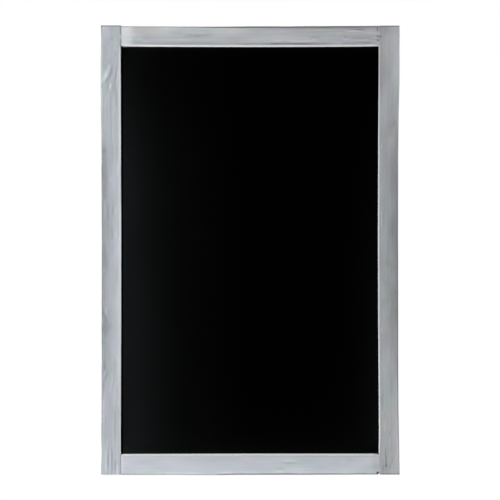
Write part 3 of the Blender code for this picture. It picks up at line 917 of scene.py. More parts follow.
class Nodes:
    """The nodes of a material or of the world, under construction."""

    def __init__(self, tree):
        self.tree = tree

    def add(self, kind, settings=None, values=None, output=0):
        """Adds a node. Its settings are set first, then its sockets' values or links."""
        node = self.tree.nodes.new(kind)
        for name, value in (settings or {}).items():
            setattr(node, name, value)
        self.fill(node, values or {})
        return Field(self, node.outputs[output])

    def fill(self, node, values):
        """Sets or links a node's sockets."""
        for key, value in values.items():
            if isinstance(value, Field):
                self.tree.links.new(value.socket, node.inputs[key])
            else:
                node.inputs[key].default_value = value

    def math(self, operation, *values):
        """The result of a Math node."""
        return self.add("ShaderNodeMath", {"operation": operation}, dict(enumerate(values)))

    def seen(self):
        """1 for what the camera sees, straight, mirrored or through glass, and 0 for light."""
        straight = self.add("ShaderNodeLightPath", output="Is Camera Ray")
        either = straight.math("MAXIMUM", straight.other("Is Glossy Ray"))
        return either.math("MAXIMUM", straight.other("Is Transmission Ray"))


class Finish(Nodes):
    """A material under construction."""

    def __init__(self, name):
        self.material = bpy.data.materials.new(name)
        self.material.use_nodes = True
        super().__init__(self.material.node_tree)

    def attribute(self, name, output="Fac"):
        """A value kept on the mesh."""
        return self.add("ShaderNodeAttribute", {"attribute_name": name}, output=output)

    def own_place(self):
        """The place in the piece's own frame."""
        return self.add("ShaderNodeTexCoord", output="Object")

    def noise(self, vector, scale, detail=2.0, roughness=0.5):
        """Noise with its own scale along each axis, in waves to a metre."""
        stretch = {"operation": "MULTIPLY"}
        values = {
            "Vector": self.add("ShaderNodeVectorMath", stretch, {0: vector, 1: scale}),
            "Scale": 1.0,
            "Detail": detail,
            "Roughness": roughness,
        }
        return self.add("ShaderNodeTexNoise", None, values)

    def blend(self, share, first, last, kind="MIX"):
        """A colour between two, by a share from 0 to 1."""
        first, last = (
            colour if isinstance(colour, Field) else (*colour, 1.0) for colour in (first, last)
        )
        settings = {"data_type": "RGBA", "blend_type": kind}
        return self.add("ShaderNodeMix", settings, {0: share, 6: first, 7: last}, output=2)

    def bump(self, height, distance, strength):
        """A surface direction from a height."""
        values = {"Height": height, "Distance": distance, "Strength": strength}
        return self.add("ShaderNodeBump", None, values)

    def surface(self, **values):
        """Sets the material's surface and gives the material."""
        shader = self.tree.nodes["Principled BSDF"]
        self.fill(shader, {name.replace("_", " "): value for name, value in values.items()})
        return self.material


def washed_wood(wood):
    """Wood with a thin pale wash, worn off the raised grain, and bare where the wash ends. It has
    painted shade on its outer edges and in its chip, and a painted highlight round the writing sheet.
    """
    finish = Finish("washed_wood")
    at = finish.attribute("grain_at", "Vector")
    kept = ("ring", "tone", "streaks", "figure", "cool", "rim", "bare")
    ring, tone, streaks, figure, cool, rim, bare = map(finish.attribute, kept)
    brush = finish.noise(at, (7, 420, 420), 3.0)
    fibre = finish.noise(at, (38, 900, 900), 2.0)
    pore = finish.noise(at, (90, 2400, 2400), 1.0)
    cloud = finish.noise(at, (16, 60, 60), 2.0)
    patch = finish.noise(at, (24, 70, 70), 1.0)
    hue = finish.noise(at, (17, 64, 64), 1.0)

    # Growth rings, fine lines between them and open pores
    phase = (ring + (fibre - 0.5) * 0.3).math("FRACT")
    late = phase.step(LATE_START, LATE_PEAK) * (1 - phase.step(LATE_PEAK, 1.0))
    fine_phase = (ring * 5 + (fibre - 0.5) * 0.8).math("FRACT")
    fine_line = fine_phase.step(0.6, 0.9) * (1 - fine_phase.step(0.92, 1.0))
    open_pore = pore.step(0.62, 0.72)

    # How pale the wash is, and its tint
    level = tone + streaks * (0.7 + fibre.step(0.38, 0.62) * 0.6)
    level = level + (0.32 - late) * figure * 0.22 + (brush - 0.5) * (figure * 0.3 + 0.10)
    level = level + (fibre - 0.5) * 0.10 + (cloud - 0.5) * 0.22
    level = level - open_pore * 0.06 - (fine_line - 0.2) * 0.05
    wash = finish.blend(level, wood.dark_wash, wood.pale_wash)
    tint = finish.blend(cool + (patch - 0.5) * 0.9, wood.warm_tint, wood.cool_tint)
    tint = finish.blend(hue.step(0.5, 0.68) * 0.9, tint, wood.lilac_tint)
    tint = finish.blend((1 - hue.step(0.32, 0.5)) * 0.9, tint, wood.green_tint)
    wash = finish.blend(1.0, wash, tint, "MULTIPLY")

    # Painted shade on the outer edges with dirt in the joints, painted shade in the deep chip, a
    # painted highlight on the thick pale wash round the writing sheet, and bare wood
    # worn marks the painted shade on the outer edges and the stiles' ends, the dirt in the joints and
    # the darkest streaks.
    worn = (0 - rim).step(0.0, 1.0).math("MAXIMUM", (0 - level).step(0.0, 0.6))
    wash = finish.blend(worn * 0.85, wash, wood.edge_shade_and_dirt)
    # Painted shade in the chip, where a mark darkens the wash far down.
    wash = finish.blend((0 - level).step(0.5, 1.3), wash, wood.chip_shade)
    # Painted highlight on a thick pale wash round the writing sheet.
    wash = finish.blend(rim, wash, wood.pale_edge_and_highlight)
    raw = finish.blend(late * 0.75 + (brush - 0.5) * 0.6, wood.early_wood, wood.late_wood)
    through = (bare + (cloud - 0.5) * 0.9 + (fibre - 0.5) * 0.5).step(0.3, 0.75)
    height = late * figure * 0.5 + fibre * 0.5 + brush * 0.4 - open_pore * 0.5
    return finish.surface(
        Base_Color=finish.blend(through, wash, raw),
        Roughness=0.62 + late * 0.12 + (fibre - 0.5) * 0.25,
        Specular_IOR_Level=0.3,
        Normal=finish.bump(height, 0.12 * MM, 0.7),
    )


def writing_laminate(panel):
    """Black board with a trace of wiped chalk, a painted reflection that spreads in from the left
    stile, painted light in thin bands along the frame, and a painted shadow line beside the left stile.
    """
    finish = Finish("writing_laminate")
    at = finish.own_place()
    across = finish.add("ShaderNodeSeparateXYZ", None, {0: at}, "X")
    up = across.other("Z")
    wiped = finish.noise(at, (14, 14, 5), 4.0, 0.6)
    speck = finish.noise(at, (900, 900, 900), 1.0)
    upper = up.step(UPPER_START, SHEET_HIGH.z)
    lower = 1 - up.step(SHEET_LOW.z, SHEET_HIGH.z)
    foot = 1 - up.step(SHEET_LOW.z, FOOT_TOP)
    from_left = across - STILE_HIGH.x
    from_right = -STILE_HIGH.x - across
    from_foot = up - (STILE_LOW.z + SLAT_WIDTH)
    from_head = (STILE_HIGH.z - SLAT_WIDTH) - up
    near_left, far_left, near_right, near_foot, near_head = (
        (away * (-1 / reach)).math("EXPONENT")
        for away, reach in (
            (from_left, panel.chalk_and_glow_reach),
            (from_left, panel.reflection_reach),
            (from_right, panel.chalk_and_glow_reach),
            (from_foot, panel.foot_reach),
            (from_head, panel.head_reach),
        )
    )
    # Painted reflection of a light on the left: a haze that fades in from the left stile.
    reflection_haze = (far_left - 0.12).math("MAXIMUM", 0.0)
    # dust is the share of chalk and painted reflection. It is brightest beside the left stile and
    # fainter in the upper part, with a thin band beside the right stile that grows towards the bottom.
    dust = (near_left * 0.48 + reflection_haze * 0.35) * (1 - upper * 0.66)
    dust = dust + near_right * (0.02 + lower * 0.24) + foot * 0.02
    # Painted light in thin bands along the bottom and top rails, where the frame shades the sheet.
    dust = dust + near_foot * (0.17 + far_left * 0.35) + near_head * (0.08 + far_left * 0.25)
    # Chalk smudged by the wiping noise, and a painted shadow line where the share falls to nothing
    # right beside the left stile.
    dust = dust * (0.7 + wiped * 0.6) * from_left.step(*SHADOW_LINE_EDGE)
    return finish.surface(
        Base_Color=finish.blend(dust + speck.step(0.66, 0.8) * 0.03, panel.black, panel.chalk_and_reflection),
        Roughness=0.46 + (wiped - 0.5) * 0.12 + (speck - 0.5) * 0.08,
        Specular_IOR_Level=panel.sheen,
        Normal=finish.bump(speck, 0.02 * MM, 0.5),
    )


def pressed_hardboard(panel):
    """Brown pressed fibre, with a screen pattern on its face."""
    finish = Finish("pressed_hardboard")
    at = finish.own_place()
    across = finish.add("ShaderNodeSeparateXYZ", None, {0: at}, "X")
    turns = 2 * math.pi / panel.screen_pitch
    screen = (across * turns).math("SINE") * (across.other("Z") * turns).math("SINE")
    fibre = finish.noise(at, (700, 700, 700), 4.0, 0.7)
    cloud = finish.noise(at, (14, 14, 14), 3.0)
    fleck = finish.noise(at, (260, 260, 1400), 1.0).step(0.62, 0.72)
    share = (fibre - 0.5) * 1.1 + (cloud - 0.5) * 0.8 + 0.5 - screen * 0.06
    colour = finish.blend(share, panel.hardboard_dark, panel.hardboard_pale)
    return finish.surface(
        Base_Color=finish.blend(fleck * 0.35, colour, panel.hardboard_fleck),
        Roughness=0.7 + (fibre - 0.5) * 0.3,
        Specular_IOR_Level=0.3,
        Normal=finish.bump(screen * 0.6 + fibre * 0.7, 0.15 * MM, 0.8),
    )


def dowel_beech(wood):
    """Plain pale beech with short rays, for the pegs in the joints."""
    finish = Finish("dowel_beech")
    at = finish.own_place()
    fibre = finish.noise(at, (60, 900, 900), 3.0)
    ray = finish.noise(at, (260, 1500, 1500), 1.0).step(0.6, 0.7)
    colour = finish.blend(fibre, wood.beech_dark, wood.beech_pale)
    return finish.surface(
        Base_Color=finish.blend(ray * 0.4, colour, wood.late_wood),
        Roughness=0.55 + (fibre - 0.5) * 0.3,
        Normal=finish.bump(fibre - ray, 0.05 * MM, 0.6),
    )


def rolled_steel(hardware):
    """Bright strip with rolling lines, small dull spots and a little rust."""
    finish = Finish("rolled_steel")
    at = finish.own_place()
    line = finish.noise(at, (2600, 2600, 160), 2.0)
    dull = finish.noise(at, (320, 320, 320), 3.0)
    spot = finish.noise(at, (1100, 1100, 1100), 1.0).step(0.66, 0.78)
    colour = finish.blend(dull, hardware.steel_dark, hardware.steel)
    return finish.surface(
        Base_Color=finish.blend(spot * 0.5, colour, hardware.rust),
        Metallic=1 - spot * 0.4,
        Roughness=0.30 + (dull - 0.5) * 0.35 + (line - 0.5) * 0.2 + spot * 0.25,
        Normal=finish.bump(line * 0.5 + dull * 0.4, 0.02 * MM, 0.6),
    )


def zinc_plate(hardware):
    """Bright zinc with a faint blue and yellow bloom."""
    finish = Finish("plated_zinc")
    at = finish.own_place()
    bloom = finish.noise(at, (240, 240, 240), 3.0)
    fine = finish.noise(at, (1600, 1600, 1600), 2.0)
    return finish.surface(
        Base_Color=finish.blend(bloom.step(0.3, 0.7), hardware.zinc_warm, hardware.zinc),
        Metallic=1.0,
        Roughness=0.24 + (bloom - 0.5) * 0.3 + (fine - 0.5) * 0.2,
        Normal=finish.bump(fine, 0.01 * MM, 0.5),
    )


def dark_rubber(hardware):
    """Black moulded rubber with a dusty face."""
    finish = Finish("moulded_rubber")
    at = finish.own_place()
    dust = finish.noise(at, (380, 380, 380), 3.0)
    grit = finish.noise(at, (2200, 2200, 2200), 1.0)
    return finish.surface(
        Base_Color=finish.blend(dust.step(0.4, 0.8) * 0.5, hardware.rubber, hardware.dust),
        Roughness=0.66 + (dust - 0.5) * 0.3,
        Specular_IOR_Level=0.35,
        Normal=finish.bump(grit, 0.03 * MM, 0.7),
    )


def sheet_mesh(node, wave):
    """A thin sheet in a node's box, a little uneven over its front and back."""
    low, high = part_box(node)
    across, up = (
        np.linspace(start, end, round((end - start) / SHEET_SPACING) + 1)
        for start, end in ((low.x, high.x), (low.z, high.z))
    )
    x, z = np.meshgrid(across, up, indexing="ij")
    swell = soft_noise(np.stack((x, 0 * x, z), axis=-1) / SWELL_PITCH, SHEET_SEED)
    edge = np.minimum.reduce((x - low.x, high.x - x, z - low.z, high.z - z))
    shift = wave * swell * np.clip(edge / (2 * SHEET_SPACING), 0, 1)
    layers = [np.stack((x, y + shift, z), axis=-1).reshape(-1, 3) for y in (low.y, high.y)]
    grid = grid_faces(*x.shape)
    index = np.arange(x.size).reshape(x.shape)
    rim = np.concatenate((index[:, 0], index[-1, 1:], index[-2::-1, -1], index[0, -2:0:-1]))
    faces = [*grid, *(grid + x.size), *band(rim, rim + x.size)]
    return mesh_from(node, np.concatenate(layers), faces, WOOD_SHARP)


def strap_mesh(hardware):
    """A strip folded round the ring's bar, with round ends. The bar's middle is the origin."""
    gauge, wrap = hardware.strap_gauge, hardware.strap_wrap
    half_width = (STRAP_HIGH.x - STRAP_LOW.x) / 2
    lower = STRAP_LOW.y + gauge / 2 - RING_AXES["left_ring"].y
    upper = lower + gauge + STRAP_LAYER_GAP
    straight_end = STRAP_LOW.z + half_width
    ends = (STRAP_END_TURN, math.pi / 2)
    round_end = arc_points((straight_end, 0), half_width, *ends, STRAP_END_STEPS)
    fold = arc_points((0, 0), -lower, math.pi, -wrap, STRAP_FOLD_STEPS)
    leave_y, leave_z = fold[-1]
    meet_z = leave_z - (leave_y - upper) / math.tan(wrap)
    shares = [step / STRAP_STRAIGHT_STEPS for step in range(1, STRAP_STRAIGHT_STEPS)]
    profile = [(lower, z, reach) for z, reach in round_end]
    profile += [(lower, straight_end * (1 - share), half_width) for share in shares]
    profile += [(y, z, half_width) for y, z in fold]
    profile += [
        (mix(leave_y, upper, share), mix(leave_z, meet_z, share), half_width)
        for share in (0.25, 0.5, 0.75, 1.0)
    ]
    profile += [(upper, mix(meet_z, straight_end, share), half_width) for share in shares]
    profile += [(upper, z, reach) for z, reach in reversed(round_end)]
    sides = np.linspace(-1, 1, STRAP_COLUMNS)
    places = [(side * reach, y, z) for y, z, reach in profile for side in sides]
    faces = grid_faces(len(profile), len(sides))
    return mesh_from("hanger_strap", places, faces, SHEET_METAL_SHARP)


def ring_mesh(hardware):
    """A closed D of round wire: a straight bar along X and a half oval below it."""
    half = (RING_HIGH.x - RING_LOW.x - hardware.ring_wire) / 2
    inner, drop = half - RING_CORNER, hardware.ring_reach - RING_CORNER
    points = [(-inner, 0), (0, 0)]
    right, left = ((side * inner, -RING_CORNER) for side in (1, -1))
    points += arc_points(right, RING_CORNER, math.pi / 2, 0, RING_CORNER_STEPS)
    oval = arc_points((0, 0), 1, 0, -math.pi, RING_OVAL_STEPS)[1:-1]
    points += [(half * x, drop * z - RING_CORNER) for x, z in oval]
    points += arc_points(left, RING_CORNER, math.pi, math.pi / 2, RING_CORNER_STEPS)[:-1]
    curve = bpy.data.curves.new("hanger_ring", "CURVE")
    curve.dimensions = "3D"
    curve.bevel_depth = hardware.ring_wire / 2
    curve.bevel_resolution = WIRE_ROUND_STEPS
    spline = curve.splines.new("POLY")
    spline.points.add(len(points) - 1)
    for point, (x, z) in zip(spline.points, points):
        point.co = (x, 0, z, 1)
    spline.use_cyclic_u = True
    wire = linked("hanger_ring", curve)
    data = made_mesh(wire)
    bpy.data.objects.remove(wire)
    return data


def screw_mesh(hardware):
    """A pan head with a cross recess, over a shank that stays in the wood. The head faces +Y."""
    head = (SCREW_HIGH.x - SCREW_LOW.x) / 2
    height, depth = hardware.screw_head, hardware.recess_depth
    shank = hardware.screw_shank / 2
    length = SCREW_HIGH.y - SCREW_LOW.y - height
    dome = arc_points((0, 0), 1, math.pi / 2, HEAD_EDGE, DOME_STEPS)[1:]
    profile = [(0, height), *((x * head, y * height) for x, y in dome)]
    profile += [(head * HEAD_LIP, 0), (shank, 0), (shank, SCREW_TIP - length), (0, -length)]
    blank = turned_mesh("hanger_screw", profile, SCREW_STEPS)
    reach, half = hardware.recess_length / 2, hardware.recess_width / 2
    arm = [(reach, -half), (reach, half), (half, half)]
    outline = []
    for _ in range(4):
        outline += arm
        arm = [(-z, x) for x, z in arm]
    levels = ((height + depth, 1.0), (height - depth, RECESS_TAPER))
    places = [(x * scale, y, z * scale) for y, scale in levels for x, z in outline]
    rows = np.arange(len(places)).reshape(2, -1)
    faces = [*rows, *band(*rows)]
    return cut_mesh(blank, mesh_from("screw_recess", places, faces, RECESS_SHARP))


def point_mesh(hardware):
    """A flat steel tab with a sharp end along +X and a tail bent up a little along Z."""
    length, tip, bite = hardware.point_length, hardware.point_tip, hardware.point_bite
    rows = [*np.linspace(bite - length, bite - tip, POINT_ROWS), bite - tip / 2, bite - POINT_BLUNT]
    sides = (-1, -0.5, 0, 0.5, 1)
    places = []
    for x in rows:
        narrow = min(1.0, max((bite - x) / tip, 0.0))
        tail = max(0.0, (bite - POINT_BEND * length - x) / ((1 - POINT_BEND) * length))
        corner = min(1.0, mix(POINT_TAIL, 1.0, (x - rows[0]) / POINT_CORNER))
        half_width = hardware.point_width / 2 * narrow * corner
        places += [(x, side * half_width, hardware.point_lift * tail**2) for side in sides]
    return mesh_from("panel_point", places, grid_faces(len(rows), len(sides)), SHEET_METAL_SHARP)


def bumper_mesh():
    """A round stick-on pad with an eased rim and a shallow dish. It stands up along Y."""
    radius = (BUMPER_HIGH.x - BUMPER_LOW.x) / 2
    height = BUMPER_HIGH.y - BUMPER_LOW.y
    centre = (radius - PAD_EASE, height - PAD_EASE)
    profile = [(radius * share, height - drop) for share, drop in PAD_DISH]
    profile += arc_points(centre, PAD_EASE, math.pi / 2, 0, PAD_EASE_STEPS)
    profile += [(radius - inset, up) for inset, up in PAD_FOOT]
    profile.append((0, 0))
    return turned_mesh("wall_bumper", profile, PAD_STEPS)


def millimetres(name, description, default, low=0.0):
    """A length that a user may change, given in millimetres."""
    return FloatProperty(
        name=name, description=description, default=default * MM, min=low * MM, unit="LENGTH"
    )


def degrees(name, description, default, low, high):
    """An angle that a user may change, given in degrees."""
    default, low, high = map(math.radians, (default, low, high))
    return FloatProperty(
        name=name, description=description, default=default, min=low, max=high, subtype="ANGLE"
    )


def watts(name, description, default):
    """A lamp's power that a user may change."""
    return FloatProperty(
        name=name, description=description, default=default, min=0.0, unit="POWER"
    )


def factor(name, description, default):
    """A strength from 0 to 1 that a user may change."""
    return FloatProperty(
        name=name, description=description, default=default, min=0.0, max=1.0, subtype="FACTOR"
    )


def swatch(name, description, *default):
    """A colour that a user may change."""
    return FloatVectorProperty(
        name=name, description=description, default=default, min=0.0, max=1.0, subtype="COLOR"
    )


class WoodSettings(bpy.types.PropertyGroup):
    """Sizes and colours of the slats."""

    edge_round: millimetres("Edge round", "Radius of the slats' worn front edges", 1.5, 0.2)
    back_round: millimetres("Back round", "Radius of the slats' outer edges behind", 1.5, 0.2)
    joint_round: millimetres("Joint round", "Radius of the stiles' edges at the rails", 0.45, 0.05)
    end_round: millimetres("End round", "Radius of the edges at the stiles' ends", 0.8, 0.1)
    ring_pitch: millimetres("Ring pitch", "Distance between growth rings", 5.2, 0.5)
    relief: millimetres("Relief", "Height of the raised grain", 0.09)
    chip_size: millimetres("Chip", "Size of the chip at the lower right joint", 2.4, 0.5)
    pale_wash: swatch("Pale wash", "Where the wash lies thick", 0.805, 0.813, 0.825)
    dark_wash: swatch("Dark wash", "Where the wash is worn thin", 0.190, 0.195, 0.200)
    # Partly a thick pale wash and partly a painted highlight on the inner walls round the writing
    # sheet.
    pale_edge_and_highlight: swatch("Pale edge", "Thick wash on edges round the writing sheet", 0.94, 0.955, 0.96)
    # Painted shade on the outer edges and the stiles' ends, and dirt in the joints.
    edge_shade_and_dirt: swatch("Worn edge", "Dirt on outer edges and in the joints", 0.105, 0.107, 0.110)
    # Painted shade in the deep chip.
    chip_shade: swatch("Hollow", "Dirt in a deep chip", 0.015, 0.016, 0.018)
    warm_tint: swatch("Warm tint", "Tint of the wash where it is warmest", 0.945, 0.94, 0.93)
    cool_tint: swatch("Cool tint", "Tint of the wash where it is coolest", 0.875, 0.935, 1.0)
    lilac_tint: swatch("Lilac tint", "Tint of the wash in its lilac patches", 0.925, 0.915, 1.0)
    green_tint: swatch("Green tint", "Tint of the wash in its green patches", 0.88, 0.955, 0.955)
    early_wood: swatch("Early wood", "Bare soft wood between the rings", 0.50, 0.36, 0.22)
    late_wood: swatch("Late wood", "Bare dense wood of the rings", 0.27, 0.155, 0.075)
    beech_pale: swatch("Pale beech", "Lighter fibres of the dowels", 0.60, 0.44, 0.28)
    beech_dark: swatch("Dark beech", "Darker fibres of the dowels", 0.42, 0.28, 0.16)


class PanelSettings(bpy.types.PropertyGroup):
    """Sizes and colours of the writing sheet and the hardboard behind it."""

    black: swatch("Black", "Clean writing surface", 0.0001, 0.0001, 0.0001)
    # Colour of the chalk trace, also used for the painted reflection on the writing sheet.
    chalk_and_reflection: swatch("Chalk", "Trace of wiped chalk", 0.0174, 0.0188, 0.0198)
    sheen: factor("Sheen", "Strength of the writing surface's reflection", 0.0015)
    # Reach of the chalk and the painted reflection beside the stiles.
    chalk_and_glow_reach: millimetres("Dust reach", "How far chalk spreads in from the stiles", 18, 1)
    # Reach of the painted reflection haze from the left stile.
    reflection_reach: millimetres("Haze reach", "How far a thin haze spreads from the left", 85, 1)
    # The foot and head reaches are for the painted light along the bottom and top rails.
    foot_reach: millimetres("Foot reach", "How far chalk spreads up from the bottom rail", 10, 1)
    head_reach: millimetres("Head reach", "How far chalk spreads down from the top rail", 6, 1)
    wave: millimetres("Wave", "Unevenness of the thin sheets", 0.05)
    screen_pitch: millimetres("Screen pitch", "Pitch of the hardboard's pattern", 2.2, 0.5)
    hardboard_pale: swatch("Pale fibre", "Lighter fibres of the hardboard", 0.32, 0.19, 0.10)
    hardboard_dark: swatch("Dark fibre", "Darker fibres of the hardboard", 0.15, 0.08, 0.04)
    hardboard_fleck: swatch("Fleck", "Pale flecks in the hardboard", 0.42, 0.29, 0.17)


class HardwareSettings(bpy.types.PropertyGroup):
    """Sizes and colours of the metal and rubber behind the board."""

    strap_gauge: millimetres("Strap gauge", "Thickness of the hanger strap", 0.8, 0.1)
    strap_wrap: degrees("Strap wrap", "How far the strap runs past the bar's top", 35, 5, 80)
    ring_wire: millimetres("Ring wire", "Thickness of the ring's wire", 2, 0.5)
    ring_reach: millimetres("Ring reach", "From the bar to the far side, middle to middle", 13, 5)
    ring_tilt: degrees("Ring tilt", "How far the ring stands off the strap at rest", 4.63, 0, 90)
    screw_head: millimetres("Screw head", "Height of the screw's head", 2.2, 0.5)
    screw_shank: millimetres("Screw shank", "Thickness of the screw's shank", 3, 1)
    recess_length: millimetres("Recess length", "Length of the cross recess's arms", 3.6, 0.5)
    recess_width: millimetres("Recess width", "Width of the cross recess's arms", 0.8, 0.2)
    recess_depth: millimetres("Recess depth", "Depth of the cross recess", 1.2, 0.2)
    point_length: millimetres("Point length", "Length of a framer's point", 15, 5)
    point_width: millimetres("Point width", "Width of a framer's point", 8, 2)
    point_tip: millimetres("Point tip", "Length of the sharp end", 4, 1)
    point_bite: millimetres("Point bite", "Length that sits in the wood", 7, 1)
    point_lift: millimetres("Point lift", "How far the tail is bent off the hardboard", 0.8)
    steel: swatch("Steel", "Bright steel strip", 0.50, 0.50, 0.485)
    steel_dark: swatch("Dull steel", "Duller steel strip", 0.27, 0.27, 0.265)
    rust: swatch("Rust", "Small spots on the steel", 0.22, 0.12, 0.06)
    zinc: swatch("Zinc", "Bright zinc plate", 0.52, 0.54, 0.56)
    zinc_warm: swatch("Warm zinc", "Yellow bloom on the zinc", 0.42, 0.40, 0.33)
    rubber: swatch("Rubber", "Moulded rubber", 0.018, 0.018, 0.019)
    dust: swatch("Dust", "Dust on the rubber", 0.07, 0.068, 0.062)


class StageSettings(bpy.types.PropertyGroup):
    """The camera, light and floor."""

    distance: millimetres("Distance", "From the camera to the frame's front face", 1250, 200)
    picture: millimetres("Picture height", "Height in view at the front face", 667.4, 100)
    light_power: watts("Light power", "Power of each of the two soft lights", 39)
    light_size: millimetres("Light size", "Side of each soft light", 1000, 100)
    light_distance: millimetres("Light distance", "From each soft light to the board", 1900, 500)
    back_power: watts("Back light power", "Power of the soft light behind the board", 16)
    light_slant: degrees("Light slant", "From the way the board faces to each light", 70, 0, 85)
    fill: factor("Fill", "Strength of the even light from all round", 0.25)
    floor_drop: millimetres("Floor drop", "From the board's lower edge to the floor", 1500, 50)
    floor: swatch("Floor", "Pale floor", 0.86, 0.86, 0.86)


class CHALKBOARD_OT_slats(bpy.types.Operator):
    """Sweeps the two stiles and two rails of the frame"""

    bl_idname = "chalkboard.slats"
    bl_label = "Frame slats"

    def execute(self, context):
        wood = context.scene.chalkboard_wood
        material = washed_wood(wood)
        for slat in SLATS:
            data = slat_mesh(slat, wood)
            add_piece(f"{slat.node}_wood", data, material, slat.node, "grey_washed_wood")
        return {"FINISHED"}


class CHALKBOARD_OT_panel(bpy.types.Operator):
    """Makes the black writing sheet and the hardboard behind it"""

    bl_idname = "chalkboard.panel"
    bl_label = "Writing sheet and hardboard"

    def execute(self, context):
        panel = context.scene.chalkboard_panel
        for name, node, material, slot in (
            ("writing_surface", "writing_sheet", writing_laminate(panel), "black_writing_laminate"),
            ("hardboard_panel", "hardboard_back", pressed_hardboard(panel), "brown_hardboard"),
        ):
            add_piece(name, sheet_mesh(node, panel.wave), material, node, slot)
        return {"FINISHED"}


class CHALKBOARD_OT_dowels(bpy.types.Operator):
    """Gives the dowels inside the joints their beech"""

    bl_idname = "chalkboard.dowels"
    bl_label = "Corner dowels"

    def execute(self, context):
        material = dowel_beech(context.scene.chalkboard_wood)
        for name, node in frame["nodes"].items():
            if name.startswith("dowel_"):
                node.data.materials.clear()
                node.data.materials.append(material)
        return {"FINISHED"}


class CHALKBOARD_OT_points(bpy.types.Operator):
    """Makes the flat steel points that hold the panel in its rebate"""

    bl_idname = "chalkboard.points"
    bl_label = "Framer's points"

    def execute(self, context):
        hardware = context.scene.chalkboard_hardware
        material = rolled_steel(hardware)
        data = point_mesh(hardware)
        flat = Matrix.Rotation(-math.pi / 2, 4, "X")
        to_centre = Vector((hardware.point_bite - hardware.point_length / 2, 0, 0))
        for node in sorted(name for name in frame["nodes"] if name.startswith("panel_point_")):
            low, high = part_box(node)
            outward = Matrix.Rotation(math.radians(POINT_TURNS[node.split("_")[2]]), 4, "Y")
            place = Matrix.Translation((low + high) / 2 - outward @ to_centre) @ outward @ flat
            name = node.replace("panel_point", "framers_point")
            piece = add_piece(name, data, material, node, "bright_steel", place=place)
            thicken(piece, POINT_HIGH.y - POINT_LOW.y, POINT_EASE)
        return {"FINISHED"}


class CHALKBOARD_OT_hangers(bpy.types.Operator):
    """Makes the hanger straps, their swinging rings and their screws"""

    bl_idname = "chalkboard.hangers"
    bl_label = "Hangers"

    def execute(self, context):
        hardware = context.scene.chalkboard_hardware
        steel = bpy.data.materials.get("rolled_steel") or rolled_steel(hardware)
        zinc = zinc_plate(hardware)
        strap, ring, screw = strap_mesh(hardware), ring_mesh(hardware), screw_mesh(hardware)
        tilt = Matrix.Rotation(hardware.ring_tilt, 4, "X")
        for side, way in SIDES.items():
            body = f"{side}_ring"
            at_bar = Matrix.Translation(RING_AXES[body])
            node = f"hanger_strap_{side}"
            plate = add_piece(f"strap_{side}", strap, steel, node, "bright_steel", place=at_bar)
            thicken(plate, hardware.strap_gauge, STRAP_EASE, even=True)
            node = f"hanger_ring_{side}"
            add_piece(f"d_ring_{side}", ring, zinc, node, "zinc_plate", body, at_bar @ tilt)
            node = f"hanger_screw_{side}"
            place = seat_on(node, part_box(node)[1].y - hardware.screw_head)
            place = place @ Matrix.Rotation(way * SCREW_TURN, 4, "Y")
            add_piece(f"strap_screw_{side}", screw, zinc, node, "zinc_plate", place=place)
        return {"FINISHED"}


class CHALKBOARD_OT_bumpers(bpy.types.Operator):
    """Makes the rubber pads at the lower back corners"""

    bl_idname = "chalkboard.bumpers"
    bl_label = "Wall bumpers"

    def execute(self, context):
        material = dark_rubber(context.scene.chalkboard_hardware)
        data = bumper_mesh()
        for side in SIDES:
            node = f"wall_bumper_{side}"
            place = seat_on(node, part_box(node)[0].y)
            add_piece(f"rubber_pad_{side}", data, material, node, "dark_rubber", place=place)
        return {"FINISHED"}


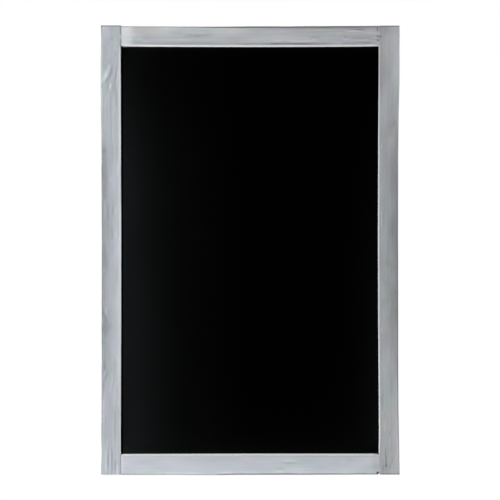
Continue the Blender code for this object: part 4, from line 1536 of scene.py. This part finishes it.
class CHALKBOARD_OT_stage(bpy.types.Operator):
    """Sets up the camera, the soft light and the pale floor"""

    bl_idname = "chalkboard.stage"
    bl_label = "Stage"

    def execute(self, context):
        stage = context.scene.chalkboard_stage
        context.scene.camera = self.add_camera(stage)
        self.add_lights(stage)
        self.add_floor(stage)
        context.scene.world = self.add_world(stage)
        context.scene.view_settings.view_transform = "Standard"
        return {"FINISHED"}

    def add_camera(self, stage):
        """A camera straight in front of the frame's middle."""
        data = bpy.data.cameras.new("camera")
        data.sensor_width = SENSOR_WIDTH
        data.lens = data.sensor_width * stage.distance / stage.picture
        camera = linked("camera", data)
        middle = (STILE_LOW.z + STILE_HIGH.z) / 2
        camera.location = (BOARD_CENTRE.x, STILE_LOW.y - stage.distance, middle)
        camera.rotation_euler = (math.pi / 2, 0, 0)
        return camera

    def add_lights(self, stage):
        """Two slanting soft lights in front and one behind."""
        aside = stage.light_distance * math.sin(stage.light_slant) / math.sqrt(2)
        front = stage.light_distance * math.cos(stage.light_slant)
        back = stage.light_distance / math.sqrt(2)
        for name, power, away in (
            ("low_left", stage.light_power, Vector((-aside, -front, -aside))),
            ("high_right", stage.light_power, Vector((aside, -front, aside))),
            ("behind", stage.back_power, Vector((0, back, back))),
        ):
            data = bpy.data.lights.new(name, "AREA")
            data.energy = power
            data.size = stage.light_size
            light = linked(name, data)
            light.location = BOARD_CENTRE + away
            light.rotation_euler = (-away).to_track_quat("-Z", "Y").to_euler()
            light.visible_camera = False

    def add_floor(self, stage):
        """A pale floor that is white to the camera, apart from shadows."""
        work = bmesh.new()
        bmesh.ops.create_grid(
            work, x_segments=FLOOR_SQUARES, y_segments=FLOOR_SQUARES, size=FLOOR_HALF_WIDTH
        )
        data = bpy.data.meshes.new("floor")
        work.to_mesh(data)
        work.free()
        floor = linked("floor", data)
        floor.location = (0, 0, STILE_LOW.z - stage.floor_drop)
        finish = Finish("floor")
        grain = finish.noise(finish.own_place(), (30, 30, 30), 2.0)
        data.materials.append(
            finish.surface(
                Base_Color=(*stage.floor, 1.0),
                Roughness=0.8 + (grain - 0.5) * 0.1,
                Emission_Color=finish.blend(finish.seen(), (0, 0, 0), (1, 1, 1)),
                Emission_Strength=FLOOR_GLOW,
            )
        )

    def add_world(self, stage):
        """A world that is white to the camera and fills the shadows a little."""
        world = bpy.data.worlds.new("studio")
        world.use_nodes = True
        nodes = Nodes(world.node_tree)
        nodes.tree.nodes.remove(nodes.tree.nodes["Background"])
        fill, white = (
            nodes.add("ShaderNodeBackground", None, {"Color": (1, 1, 1, 1), "Strength": strength})
            for strength in (stage.fill, 1.0)
        )
        chosen = nodes.add("ShaderNodeMixShader", None, {0: nodes.seen(), 1: fill, 2: white})
        nodes.fill(nodes.tree.nodes["World Output"], {"Surface": chosen})
        return world


class CHALKBOARD_PT_sidebar(bpy.types.Panel):
    """Lists the pieces and their settings"""

    bl_idname = "CHALKBOARD_PT_sidebar"
    bl_label = "Framed chalkboard"
    bl_space_type = "VIEW_3D"
    bl_region_type = "UI"
    bl_category = "Chalkboard"

    def draw(self, context):
        """Shows a button for each piece, then the settings."""
        for operator in OPERATORS:
            self.layout.operator(operator.bl_idname)
        for name in SETTINGS:
            group = getattr(context.scene, name)
            box = self.layout.box()
            box.label(text=type(group).__doc__)
            for key in type(group).__annotations__:
                box.prop(group, key)


SETTINGS = {
    "chalkboard_wood": WoodSettings,
    "chalkboard_panel": PanelSettings,
    "chalkboard_hardware": HardwareSettings,
    "chalkboard_stage": StageSettings,
}
OPERATORS = (
    CHALKBOARD_OT_slats,
    CHALKBOARD_OT_panel,
    CHALKBOARD_OT_dowels,
    CHALKBOARD_OT_points,
    CHALKBOARD_OT_hangers,
    CHALKBOARD_OT_bumpers,
    CHALKBOARD_OT_stage,
)


def register():
    """Adds the settings and operators to Blender."""
    for made in (*SETTINGS.values(), *OPERATORS, CHALKBOARD_PT_sidebar):
        bpy.utils.register_class(made)
    for name, group in SETTINGS.items():
        setattr(bpy.types.Scene, name, PointerProperty(type=group))


def unregister():
    """Takes them out again."""
    for name in SETTINGS:
        delattr(bpy.types.Scene, name)
    for made in (CHALKBOARD_PT_sidebar, *reversed(OPERATORS), *reversed(SETTINGS.values())):
        bpy.utils.unregister_class(made)


def main():
    """Makes every piece and the stage."""
    register()
    bpy.ops.chalkboard.slats()
    bpy.ops.chalkboard.panel()
    bpy.ops.chalkboard.dowels()
    bpy.ops.chalkboard.points()
    bpy.ops.chalkboard.hangers()
    bpy.ops.chalkboard.bumpers()
    bpy.ops.chalkboard.stage()


if __name__ == "__main__":
    main()
